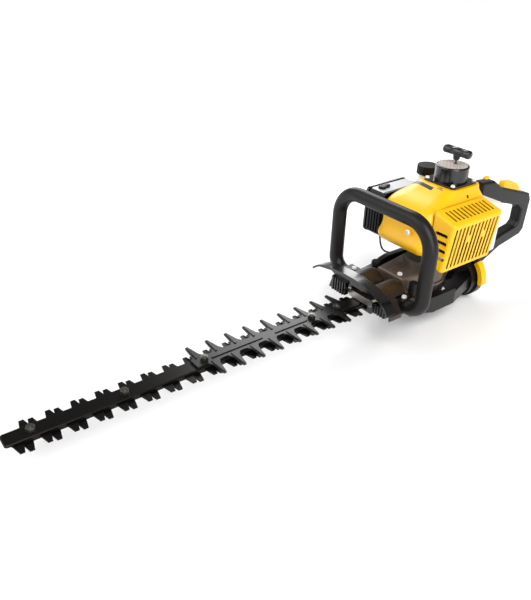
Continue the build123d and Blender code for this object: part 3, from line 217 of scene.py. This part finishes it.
def repaint(material, name, mask_boxes, colour, metallic=None):
    """A copy of a finish with a second colour, and maybe metal, inside the boxes."""
    copy = material.copy()
    copy.name = name
    tree = copy.node_tree
    masks = [inside_box(tree, *box) for box in mask_boxes]
    mask = masks[0]
    for other in masks[1:]:
        mask = add_node(tree, "ShaderNodeMath", {"operation": "MAXIMUM"}, {0: mask, 1: other}).outputs[0]
    tint_surface(tree, mask, high_colour=colour)
    if metallic is not None:
        socket = principled(tree).inputs["Metallic"]
        metal = add_node(tree, "ShaderNodeMapRange", {"To Min": socket.default_value, "To Max": metallic},
                         {"Value": mask})
        tree.links.new(metal.outputs["Result"], socket)
    return copy


# Painted shade in gaps and slots: the less open sky a surface sees, the darker its colour.
BOXED_IN = 0.6  # share of open sky at which a surface is fully dark
OPEN_TO_AIR = 0.88  # share of open sky above which it keeps its own colour


def paint_shade_in_gaps(material, name, reach_mm, colour):
    """A copy of a finish with painted shade: it darkens to a colour wherever the surface is boxed in, as
    slots and gaps are.
    """
    copy = material.copy()
    copy.name = name
    tree = copy.node_tree
    hidden = add_node(tree, "ShaderNodeAmbientOcclusion", {"samples": 8, "Distance": reach_mm * MM})
    unshaded = add_node(tree, "ShaderNodeMapRange", {"From Min": BOXED_IN, "From Max": OPEN_TO_AIR},
                     {"Value": hidden.outputs["AO"]})
    tint_surface(tree, unshaded.outputs["Result"], low_colour=colour)
    return copy


# The slots of the muffler cover get painted shade, near black inside where the surface is boxed in.
louvre_abs = paint_shade_in_gaps(yellow_abs, "yellow_abs_painted_slot_shade", 14, "#0c0806")
# The engine cover carries a plain black printed bar and two thin dashes on its top face, and painted
# shade, near black, in the screw well on its muffler side.
cover_abs = repaint(yellow_abs, "yellow_abs_print_and_well_shade",
                    [((48.5, -22, 238), (3.8, 25, 16), 0.1), ((42.5, 14, 240), (0.7, 7, 16), 0.1),
                     ((39.5, 13, 240), (0.7, 5, 16), 0.1), ((4.7, 41.5, 240), (2.3, 6, 2.3), 0.0)], "#14100c")
# The nose of the gearcase lid, in front of X 174 mm, is bare metal where the blades leave it.
lid_casting = repaint(lid_paint, "gearcase_lid_bare_nose", [((240, 0, 90), (66, 80, 60), 0.0)], "#c3beb6",
                      metallic=1.0)
# The flat tops of the air box and the filter cover are painted pale grey, a painted reflection of the bright
# sky on their glossy top faces; their sides stay black.
box_nylon = repaint(black_nylon, "black_nylon_painted_top_sheen", [((50, -78, 234), (46, 14.5, 3.4), 0.0)],
                    "#c9cbcd")
# Painted reflection: only the filter cover's top face turns grey, and its front lip stays black.
filter_nylon = repaint(gloss_black_abs, "black_abs_painted_top_sheen", [((50, -98, 235), (48, 8, 2.6), 0.0)],
                       "#a9abad")
print("repainted", [m.name for m in (cover_abs, lid_casting, box_nylon, filter_nylon)])

# %% [markdown]
# The starter drum carries a round paper label under clear film. Its print is only rows of short
# pinkish bars of uneven length, which a brick pattern gives, on pale grey.

# %% Label film
starter_film = moulded("printed_label_film", "#c9c3bd", "#b9b2ac", 0.3, grain_mm=0.8, grain_depth=0.02,
                       patch_mm=12, coat=0.2)
film_tree = starter_film.node_tree
film_place = add_node(film_tree, "ShaderNodeTexCoord")
film_bars = add_node(film_tree, "ShaderNodeTexBrick",
                     {"offset": 0.37, "squash": 0.7, "squash_frequency": 3, "Scale": 1.0,
                      "Color1": linear("#b0624c"), "Color2": linear("#8d8681"), "Mortar": linear("#d3cdc7"),
                      "Mortar Size": 1.0 * MM, "Mortar Smooth": 0.1, "Brick Width": 9 * MM,
                      "Row Height": 3.6 * MM},
                     {"Vector": film_place.outputs["Object"]})
film_tree.links.new(film_bars.outputs["Color"], principled(film_tree).inputs["Base Color"])
print("label film nodes", len(film_tree.nodes))

# %% [markdown]
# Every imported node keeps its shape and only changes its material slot. The table goes by finish.

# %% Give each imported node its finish
FINISHES = {
    yellow_abs: "throttle_lockout stop_switch lock_lever",
    louvre_abs: "muffler_cover",
    cover_abs: "engine_cover",
    black_nylon: "chassis rear_handle_left rear_handle_right throttle_trigger starter_pulley "
                 "ignition_coil intake_insulator throttle_cable choke_lever fuel_cap starter_grip",
    box_nylon: "air_box",
    filter_nylon: "air_filter_cover",
    gloss_black_abs: "hand_guard starter_housing",
    brown_abs: "hood gearcase_lower",
    grip_rubber: "front_handle",
    soft_rubber: "antivibration_mounts plug_boot primer_bulb",
    filter_foam: "air_filter",
    nylon_rope: "starter_rope",
    tank_polyethylene: "fuel_tank",
    cast_aluminium: "clutch_housing crankcase cylinder piston flywheel carburetor",
    lid_casting: "gearcase_upper",
    blade_steel: "upper_blade lower_blade guide_bar",
    guard_steel: "finger_guard",
    machined_steel: "cam_gear eccentric_discs upper_link lower_link gear_bearings clutch_drum clutch_shoes "
                    "clutch_hub crank_bearings crankshaft connecting_rod rod_pins recoil_spring",
    zinc_plate: "blade_bolts blade_nuts screws flywheel_nut spark_plug",
    muffler_sheet: "muffler",
    brass: "throttle_valve",
}
dressed = set()
for material, names in FINISHES.items():
    for name in names.split():
        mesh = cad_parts[name].data
        mesh.materials.clear()
        mesh.materials.append(material)
        dressed.add(name)
print("dressed", len(dressed), "bare", sorted(set(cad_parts) - dressed))

# %% [markdown]
# What repeats is made by Geometry Nodes. Each tree is a small recipe with named inputs for its sizes.
# `grow` gives a mesh of bare points to a tree, sets the inputs by their identifiers, and takes the
# evaluated result as a plain mesh, so that no live modifier is left on a piece.

# %% Helpers for Geometry Nodes
def new_recipe(name, inputs):
    """A Geometry Nodes tree with a geometry in and out and the named inputs."""
    tree = bpy.data.node_groups.new(name, "GeometryNodeTree")
    tree.interface.new_socket("Geometry", in_out="INPUT", socket_type="NodeSocketGeometry")
    for label, kind, value in inputs:
        socket = tree.interface.new_socket(label, in_out="INPUT", socket_type="NodeSocket" + kind)
        if value is not None:
            socket.default_value = value
    tree.interface.new_socket("Geometry", in_out="OUTPUT", socket_type="NodeSocketGeometry")
    given = add_node(tree, "NodeGroupInput")
    return tree, given.outputs


def close_recipe(tree, geometry, given):
    """End the tree: real geometry, one material, output."""
    real = add_node(tree, "GeometryNodeRealizeInstances", None, {"Geometry": geometry})
    painted = add_node(tree, "GeometryNodeSetMaterial", None,
                       {"Geometry": real.outputs["Geometry"], "Material": given["Material"]})
    add_node(tree, "NodeGroupOutput", None, {"Geometry": painted.outputs["Geometry"]})


def grow(name, places, tree, values, material):
    """Run a tree on bare points (millimetres) and return the result as a plain object."""
    seeds = bpy.data.meshes.new(name + "_seeds")
    seeds.from_pydata([tuple(v * MM for v in place) for place in places], [], [])
    host = bpy.data.objects.new(name + "_host", seeds)
    bpy.context.collection.objects.link(host)
    modifier = host.modifiers.new("recipe", "NODES")
    modifier.node_group = tree
    for socket in tree.interface.items_tree:
        if socket.item_type == "SOCKET" and socket.in_out == "INPUT" and socket.name in values:
            modifier[socket.identifier] = values[socket.name]
        if socket.item_type == "SOCKET" and socket.in_out == "INPUT" and socket.name == "Material":
            modifier[socket.identifier] = material
    evaluated = host.evaluated_get(bpy.context.evaluated_depsgraph_get())
    mesh = bpy.data.meshes.new_from_object(evaluated)
    host.modifiers.remove(modifier)
    bpy.data.objects.remove(host)
    piece = bpy.data.objects.new(name, mesh)
    bpy.context.collection.objects.link(piece)
    if not mesh.materials:
        mesh.materials.append(material)
    print(name, "faces", len(mesh.polygons))
    return piece


def joined(name, parts):
    """One piece out of several plain objects of the same finish."""
    whole = bmesh.new()
    for part in parts:
        whole.from_mesh(part.data)
    mesh = bpy.data.meshes.new(name)
    whole.to_mesh(mesh)
    whole.free()
    mesh.materials.append(parts[0].data.materials[0])
    for part in parts:
        bpy.data.objects.remove(part)
    piece = bpy.data.objects.new(name, mesh)
    bpy.context.collection.objects.link(piece)
    return piece


# %% [markdown]
# A cross-recess screw is a low cone with a cross cut into its top by a boolean, on a plain shank. A
# hex bolt is a six-sided prism on a round washer face. Both trees put one copy on every point,
# turned the same way.

# %% Recipe for cross-recess screws
CROWN_TAPER = 0.72  # radius of the crown's flat top, as a share of the head's
SLOT_REACH = 1.15  # length of the cross's bars, as a share of the head's radius

cross_screw, given = new_recipe("cross_screw", [
    ("Head Radius", "Float", 0.004), ("Head Height", "Float", 0.0026), ("Shank Radius", "Float", 0.002),
    ("Shank Length", "Float", 0.0036), ("Slot Width", "Float", 0.0011), ("Turn", "Vector", (0, 0, 0)),
    ("Material", "Material", None)])
crown = add_node(cross_screw, "GeometryNodeMeshCone", {"Vertices": 32, "Side Segments": 1},
                 {"Radius Bottom": given["Head Radius"], "Depth": given["Head Height"]})
top_radius = add_node(cross_screw, "ShaderNodeMath", {"operation": "MULTIPLY", 1: CROWN_TAPER},
                      {0: given["Head Radius"]})
cross_screw.links.new(top_radius.outputs[0], crown.inputs["Radius Top"])
slot_length = add_node(cross_screw, "ShaderNodeMath", {"operation": "MULTIPLY", 1: SLOT_REACH},
                       {0: given["Head Radius"]})
cuts = []
for order in ((0, 1), (1, 0)):
    size = add_node(cross_screw, "ShaderNodeCombineXYZ", None, {"Z": given["Head Height"]})
    cross_screw.links.new(slot_length.outputs[0], size.inputs[order[0]])
    cross_screw.links.new(given["Slot Width"], size.inputs[order[1]])
    bar = add_node(cross_screw, "GeometryNodeMeshCube", None, {"Size": size.outputs[0]})
    lift = add_node(cross_screw, "ShaderNodeCombineXYZ", None, {"Z": given["Head Height"]})
    raised = add_node(cross_screw, "GeometryNodeTransform", None,
                      {"Geometry": bar.outputs["Mesh"], "Translation": lift.outputs[0]})
    cuts.append(raised.outputs["Geometry"])
recess = add_node(cross_screw, "GeometryNodeMeshBoolean", {"operation": "DIFFERENCE"},
                  {"Mesh 1": crown.outputs["Mesh"]})
for cut in cuts:
    cross_screw.links.new(cut, recess.inputs["Mesh 2"])
shank = add_node(cross_screw, "GeometryNodeMeshCylinder", {"Vertices": 16},
                 {"Radius": given["Shank Radius"], "Depth": given["Shank Length"]})
half_down = add_node(cross_screw, "ShaderNodeMath", {"operation": "MULTIPLY", 1: -0.5},
                     {0: given["Shank Length"]})
down = add_node(cross_screw, "ShaderNodeCombineXYZ", None, {"Z": half_down.outputs[0]})
lowered = add_node(cross_screw, "GeometryNodeTransform", None,
                   {"Geometry": shank.outputs["Mesh"], "Translation": down.outputs[0]})
whole = add_node(cross_screw, "GeometryNodeJoinGeometry")
cross_screw.links.new(recess.outputs["Mesh"], whole.inputs["Geometry"])
cross_screw.links.new(lowered.outputs["Geometry"], whole.inputs["Geometry"])
copies = add_node(cross_screw, "GeometryNodeInstanceOnPoints", None,
                  {"Points": given["Geometry"], "Instance": whole.outputs["Geometry"],
                   "Rotation": given["Turn"]})
close_recipe(cross_screw, copies.outputs["Instances"], given)
print("cross_screw nodes", len(cross_screw.nodes))

# %% Recipe for hex bolts
hex_bolt, given = new_recipe("hex_bolt", [
    ("Flat Radius", "Float", 0.0042), ("Head Height", "Float", 0.0024), ("Washer Radius", "Float", 0.0044),
    ("Washer Height", "Float", 0.001), ("Material", "Material", None)])
prism = add_node(hex_bolt, "GeometryNodeMeshCylinder", {"Vertices": 6},
                 {"Radius": given["Flat Radius"], "Depth": given["Head Height"]})
ring = add_node(hex_bolt, "GeometryNodeMeshCylinder", {"Vertices": 28},
                {"Radius": given["Washer Radius"], "Depth": given["Washer Height"]})
half_ring = add_node(hex_bolt, "ShaderNodeMath", {"operation": "MULTIPLY", 1: 0.5},
                     {0: given["Washer Height"]})
ring_place = add_node(hex_bolt, "ShaderNodeCombineXYZ", None, {"Z": half_ring.outputs[0]})
half_head = add_node(hex_bolt, "ShaderNodeMath", {"operation": "MULTIPLY_ADD", 1: 0.5},
                     {0: given["Head Height"], 2: given["Washer Height"]})
head_place = add_node(hex_bolt, "ShaderNodeCombineXYZ", None, {"Z": half_head.outputs[0]})
low_ring = add_node(hex_bolt, "GeometryNodeTransform", None,
                    {"Geometry": ring.outputs["Mesh"], "Translation": ring_place.outputs[0]})
high_head = add_node(hex_bolt, "GeometryNodeTransform", None,
                     {"Geometry": prism.outputs["Mesh"], "Translation": head_place.outputs[0]})
bolt = add_node(hex_bolt, "GeometryNodeJoinGeometry")
hex_bolt.links.new(low_ring.outputs["Geometry"], bolt.inputs["Geometry"])
hex_bolt.links.new(high_head.outputs["Geometry"], bolt.inputs["Geometry"])
copies = add_node(hex_bolt, "GeometryNodeInstanceOnPoints", None,
                  {"Points": given["Geometry"], "Instance": bolt.outputs["Geometry"]})
close_recipe(hex_bolt, copies.outputs["Instances"], given)

print("hex_bolt nodes", len(hex_bolt.nodes))

# %% [markdown]
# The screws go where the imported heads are. Four hold the starter's square flange, one faces forward
# on the engine cover, two bolts close the gearcase lid and two hold the loop's clamps. They all move
# with the engine, so they become one piece.

# %% Screws and bolts in place of the plain packed heads
HEAD_HEIGHT = 2.6
FLANGE_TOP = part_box("screws")[1][2] / MM - HEAD_HEIGHT
CORNER = 28.0  # from the starter's axis to a flange screw, in X and in Y
COVER_FRONT = 113.9
LID_TOP = 110.3
CLAMP_TOP = 101.3
flange_places = [(x, y, FLANGE_TOP) for x in (-CORNER, CORNER) for y in (-CORNER, CORNER)]
flange_screws = grow("flange_screws", flange_places, cross_screw, {}, zinc_plate)
cover_screw = grow("cover_screw", [(COVER_FRONT, 16, 190)], cross_screw,
                   {"Head Radius": 5 * MM, "Head Height": HEAD_HEIGHT * MM, "Shank Length": 0.1 * MM,
                    "Turn": (0.0, math.pi / 2, 0.0)}, zinc_plate)
lid_bolts = grow("lid_bolts", [(118, 16, LID_TOP), (64, 30, LID_TOP)], hex_bolt, {}, zinc_plate)
clamp_bolts = grow("clamp_bolts", [(159, 66, CLAMP_TOP), (156, -58, CLAMP_TOP)], hex_bolt, {}, zinc_plate)
body_screws = joined("body_screws", [flange_screws, cover_screw, lid_bolts, clamp_bolts])
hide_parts("screws")
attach(body_screws, "engine_and_chassis")

# %% [markdown]
# The recoil starter's handle is a waisted bar with flared ends on a short tapered neck. Its radius
# follows a rule along its length, so it is lofted in bmesh as a row of oval rings, close enough
# together to look round.

# %% Lofted recoil handle
GRIP_LOW, GRIP_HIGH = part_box("starter_grip")
GRIP_X = (GRIP_LOW[0] + GRIP_HIGH[0]) / 2
GRIP_Z = GRIP_HIGH[2] - 7.5 * MM  # the bar's axis, half its height below its top
GRIP_HALF = (GRIP_HIGH[1] - GRIP_LOW[1]) / 2


def lathe(name, rings, material, sides=32):
    """A closed tube through rings of (centre, first half axis, second half axis), capped at both ends."""
    shell = bmesh.new()
    loops = []
    for centre, first, second in rings:
        loops.append([shell.verts.new(centre + first * math.cos(a) + second * math.sin(a))
                      for a in (2 * math.pi * i / sides for i in range(sides))])
    for one, two in zip(loops, loops[1:]):
        for i in range(sides):
            shell.faces.new((one[i], one[(i + 1) % sides], two[(i + 1) % sides], two[i]))
    for loop, centre in ((loops[0], rings[0][0]), (loops[-1], rings[-1][0])):
        middle = shell.verts.new(centre)
        for i in range(sides):
            shell.faces.new((loop[i], loop[(i + 1) % sides], middle))
    bmesh.ops.recalc_face_normals(shell, faces=shell.faces)
    mesh = bpy.data.meshes.new(name)
    shell.to_mesh(mesh)
    shell.free()
    for polygon in mesh.polygons:
        polygon.use_smooth = True
    mesh.materials.append(material)
    piece = bpy.data.objects.new(name, mesh)
    bpy.context.collection.objects.link(piece)
    return piece


def grip_width(along):
    """Scale of the bar's section at a place from -1 to 1 along it: waisted, with rounded ends."""
    waist = 0.88 + 0.12 * abs(math.cos(1.25 * math.pi * along)) ** 1.2
    round_end = math.sqrt(max(0.0, 1 - max(0.0, (abs(along) - 0.88) / 0.12) ** 2))
    return waist * (0.35 + 0.65 * round_end)


GRIP_STEPS = 48
GRIP_DEPTH = 8.4 * MM
GRIP_RISE = 7.4 * MM
grip_rings = []
for step in range(GRIP_STEPS + 1):
    along = -1 + 2 * step / GRIP_STEPS
    width = grip_width(along)
    centre = Vector((GRIP_X, along * (GRIP_HALF - 0.3 * MM), GRIP_Z))
    grip_rings.append((centre, Vector((GRIP_DEPTH * width, 0, 0)), Vector((0, 0, GRIP_RISE * width))))
grip_bar = lathe("grip_bar", grip_rings, gloss_black_abs)
NECK_FOOT = 291.2
NECK_PROFILE = ((0, 4.9), (0.6, 5.6), (2, 5.9), (4, 6.2), (7, 6.8), (11, 7.4))  # height and radius
neck_rings = [(Vector((GRIP_X, 0, (NECK_FOOT + rise) * MM)), Vector((r * MM, 0, 0)), Vector((0, r * MM, 0)))
              for rise, r in NECK_PROFILE]
grip_neck = lathe("grip_neck", neck_rings, gloss_black_abs)
recoil_handle = joined("recoil_handle", [grip_bar, grip_neck])
for polygon in recoil_handle.data.polygons:
    polygon.use_smooth = True
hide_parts("starter_grip")
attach(recoil_handle, "starter_grip")

# %% [markdown]
# Fine ribs give fingers a hold on the handle. They are a third Geometry Nodes recipe: a thin bead
# swept round an oval a little inside the bar's surface, so that only its back stands proud, and
# repeated on a point for each rib.

# %% Ribs on the starter handle
rib_row, given = new_recipe("rib_row", [
    ("Reach X", "Float", 0.0077), ("Reach Z", "Float", 0.0068), ("Thickness", "Float", 0.0005),
    ("Material", "Material", None)])
hoop = add_node(rib_row, "GeometryNodeCurvePrimitiveCircle", {"Resolution": 40, "Radius": 1.0})
shape = add_node(rib_row, "ShaderNodeCombineXYZ", {"Z": 1.0}, {"X": given["Reach X"], "Y": given["Reach Z"]})
oval = add_node(rib_row, "GeometryNodeTransform", {"Rotation": (math.pi / 2, 0, 0)},
                {"Geometry": hoop.outputs["Curve"], "Scale": shape.outputs[0]})
bead = add_node(rib_row, "GeometryNodeCurvePrimitiveCircle", {"Resolution": 8},
                {"Radius": given["Thickness"]})
rib = add_node(rib_row, "GeometryNodeCurveToMesh", None,
               {"Curve": oval.outputs["Geometry"], "Profile Curve": bead.outputs["Curve"]})
rib_copies = add_node(rib_row, "GeometryNodeInstanceOnPoints", None,
                      {"Points": given["Geometry"], "Instance": rib.outputs["Mesh"]})
close_recipe(rib_row, rib_copies.outputs["Instances"], given)
RIB_PITCH = 3.0
RIB_INNERMOST = 10.5
rib_reach = [RIB_INNERMOST + RIB_PITCH * number for number in range(4)]
rib_places = [(GRIP_X / MM, side * y, GRIP_Z / MM) for side in (-1, 1) for y in rib_reach]
handle_ribs = grow("recoil_handle_ribs", rib_places, rib_row, {}, gloss_black_abs)
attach(handle_ribs, "starter_grip")

# %% [markdown]
# The starter rope is braided nylon. It is a tube of many rings, from its hole in the drum up to the
# handle: in the real starter the rope pays out from the pulley inside.

# %% Braided starter rope
ROPE_FOOT, ROPE_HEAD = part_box("starter_rope")
ROPE_STEPS = 40
rope_rings = []
for step in range(ROPE_STEPS + 1):
    height = ROPE_FOOT[2] + (ROPE_HEAD[2] - ROPE_FOOT[2]) * step / ROPE_STEPS
    radius = (1.5 + 0.08 * (-1) ** step) * MM  # the braid's small swell at every other ring
    rope_rings.append((Vector((GRIP_X, 0, height)), Vector((radius, 0, 0)), Vector((0, radius, 0))))
rope = lathe("braided_starter_rope", rope_rings, nylon_rope, sides=14)
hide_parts("starter_rope")
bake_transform(rope)
print("rope faces", len(rope.data.polygons))

# %% [markdown]
# The label on the drum is a thin film with a hole for the rope, so it is a flat ring shape: an outer
# circle, a small off-centre hole, and a hair of thickness.

# %% Label on the starter drum
DRUM_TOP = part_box("starter_housing")[1][2]
SIDES = 64
LABEL_RADIUS = 25.6 * MM
HOLE_RADIUS = 3.4 * MM


def circle(shell, middle_x, radius, height):
    """A ring of vertices about a middle on the X axis."""
    turns = [2 * math.pi * i / SIDES for i in range(SIDES)]
    return [shell.verts.new((middle_x + radius * math.cos(a), radius * math.sin(a), height)) for a in turns]


film = bmesh.new()
levels = [(circle(film, 0, LABEL_RADIUS, height), circle(film, GRIP_X, HOLE_RADIUS, height))
          for height in (DRUM_TOP + 0.02 * MM, DRUM_TOP + 0.22 * MM)]
(low_out, low_in), (high_out, high_in) = levels
for i in range(SIDES):
    j = (i + 1) % SIDES
    film.faces.new((high_out[i], high_out[j], high_in[j], high_in[i]))
    film.faces.new((low_in[i], low_in[j], low_out[j], low_out[i]))
    film.faces.new((low_out[i], low_out[j], high_out[j], high_out[i]))
    film.faces.new((high_in[i], high_in[j], low_in[j], low_in[i]))
bmesh.ops.recalc_face_normals(film, faces=film.faces)
film_mesh = bpy.data.meshes.new("starter_label")
film.to_mesh(film_mesh)
film.free()
film_mesh.materials.append(starter_film)
starter_label = bpy.data.objects.new("starter_label", film_mesh)
bpy.context.collection.objects.link(starter_label)
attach(starter_label, "engine_and_chassis")
print("label faces", len(film_mesh.polygons))

# %% [markdown]
# The throttle cable leaves the air box, sags behind the gearcase and goes down into the fixed disc
# of the rear handle. A NURBS curve of order 3 with a round bevel follows the same few points as the
# solid cable, so it bends as smoothly as a real sheathed cable does.

# %% Throttle cable
CABLE_DIAMETER = 3.2 * MM
CABLE_ROUTE = [(92, -66, 176), (92, -66, 136), (72, -63, 104), (-4, -62, 96), (-36, -54, 108),
               (-73, 0, 120), (-73, 0, 77)]
cable_curve = bpy.data.curves.new("throttle_cable_sheath", "CURVE")
cable_curve.dimensions = "3D"
spline = cable_curve.splines.new("NURBS")
spline.points.add(len(CABLE_ROUTE) - 1)
for point, place in zip(spline.points, CABLE_ROUTE):
    point.co = (place[0] * MM, place[1] * MM, place[2] * MM, 1)
spline.order_u = 3
spline.use_endpoint_u = True
spline.resolution_u = 16
cable_curve.bevel_depth = CABLE_DIAMETER / 2
cable_curve.bevel_resolution = 4
cable_curve.use_fill_caps = True
cable_curve.materials.append(black_nylon)
cable = bpy.data.objects.new("throttle_cable_sheath", cable_curve)
bpy.context.collection.objects.link(cable)
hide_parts("throttle_cable")
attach(cable, "engine_and_chassis")
print("cable points", len(CABLE_ROUTE))

# %% [markdown]
# The studio is a pale paper floor that runs past the view, lit by two broad suns. A sun lights near
# and far floor alike, so the paper stays evenly white, and its wide angle makes soft shadows. The
# world is white at the horizon and dim above, which keeps black mouldings black, and two small area
# lamps draw the bright lines on them.

# %% Floor and lights
FLOOR_REACH = 30
floor_mesh = bpy.data.meshes.new("studio_floor")
floor_corners = [(x * FLOOR_REACH, y * FLOOR_REACH, 0) for x, y in ((-1, -1), (1, -1), (1, 1), (-1, 1))]
floor_mesh.from_pydata(floor_corners, [], [(0, 1, 2, 3)])
floor = bpy.data.objects.new("studio_floor", floor_mesh)
bpy.context.collection.objects.link(floor)
floor_mesh.materials.append(moulded("studio_paper", "#fdfdfd", "#ffffff", 0.95, grain_mm=4, grain_depth=0.0,
                                    edge_mm=0.1, gloss=0.1))


def place_light(name, kind, place, aim, power, **settings):
    """A light at a place, turned towards the aim."""
    data = bpy.data.lights.new(name, kind)
    data.energy = power
    for key, value in settings.items():
        setattr(data, key, value)
    light = bpy.data.objects.new(name, data)
    light.matrix_world = Matrix.Translation(place) @ (
        (Vector(aim) - Vector(place)).to_track_quat("-Z", "Y").to_matrix().to_4x4()
    )
    bpy.context.collection.objects.link(light)


CENTRE = (0.05, 0.0, 0.13)
place_light("key_sun", "SUN", (0.7, 1.6, 2.0), CENTRE, 2.3, angle=math.radians(40))
place_light("front_sun", "SUN", (1.6, -0.9, 1.5), CENTRE, 1.3, angle=math.radians(50))
place_light("rim_lamp", "AREA", (-0.5, -1.0, 0.9), CENTRE, 9, size=0.7)
place_light("side_lamp", "AREA", (0.4, 1.2, 0.5), CENTRE, 5, size=0.5)
world = bpy.data.worlds.new("pale_studio")
world.use_nodes = True
sky = world.node_tree
direction = add_node(sky, "ShaderNodeTexCoord")
heading = add_node(sky, "ShaderNodeSeparateXYZ", None, {0: direction.outputs["Generated"]})
fading = add_node(sky, "ShaderNodeMapRange",
                  {"From Min": 0.03, "From Max": 0.22, "To Min": 1.0, "To Max": 0.25},
                  {"Value": heading.outputs["Z"]})
sky.links.new(fading.outputs["Result"], sky.nodes["Background"].inputs["Strength"])
sky.nodes["Background"].inputs["Color"].default_value = linear("#ffffff")
bpy.context.scene.world = world
print("lights", len(bpy.data.lights))

# %% [markdown]
# The camera stands in front of the muffler side and a little above, and looks back over the blades.
# Its three directions are given as vectors, made square to each other before use.

# %% Camera
camera_data = bpy.data.cameras.new("camera")
camera_data.lens = 38.95
camera_data.sensor_width = 36.0
camera = bpy.data.objects.new("camera", camera_data)
RIGHT = Vector((-0.8024, 0.5962, 0.0223))
UP = Vector((-0.2860, -0.4171, 0.8627))
BACK = RIGHT.cross(UP).normalized()
UP = BACK.cross(RIGHT.normalized())
turned = Matrix((RIGHT.normalized(), UP, BACK)).transposed().to_4x4()
camera.matrix_world = Matrix.Translation((0.91404, 0.67361, 0.64049)) @ turned
bpy.context.collection.objects.link(camera)
bpy.context.scene.camera = camera
bpy.context.scene.view_settings.view_transform = "Standard"
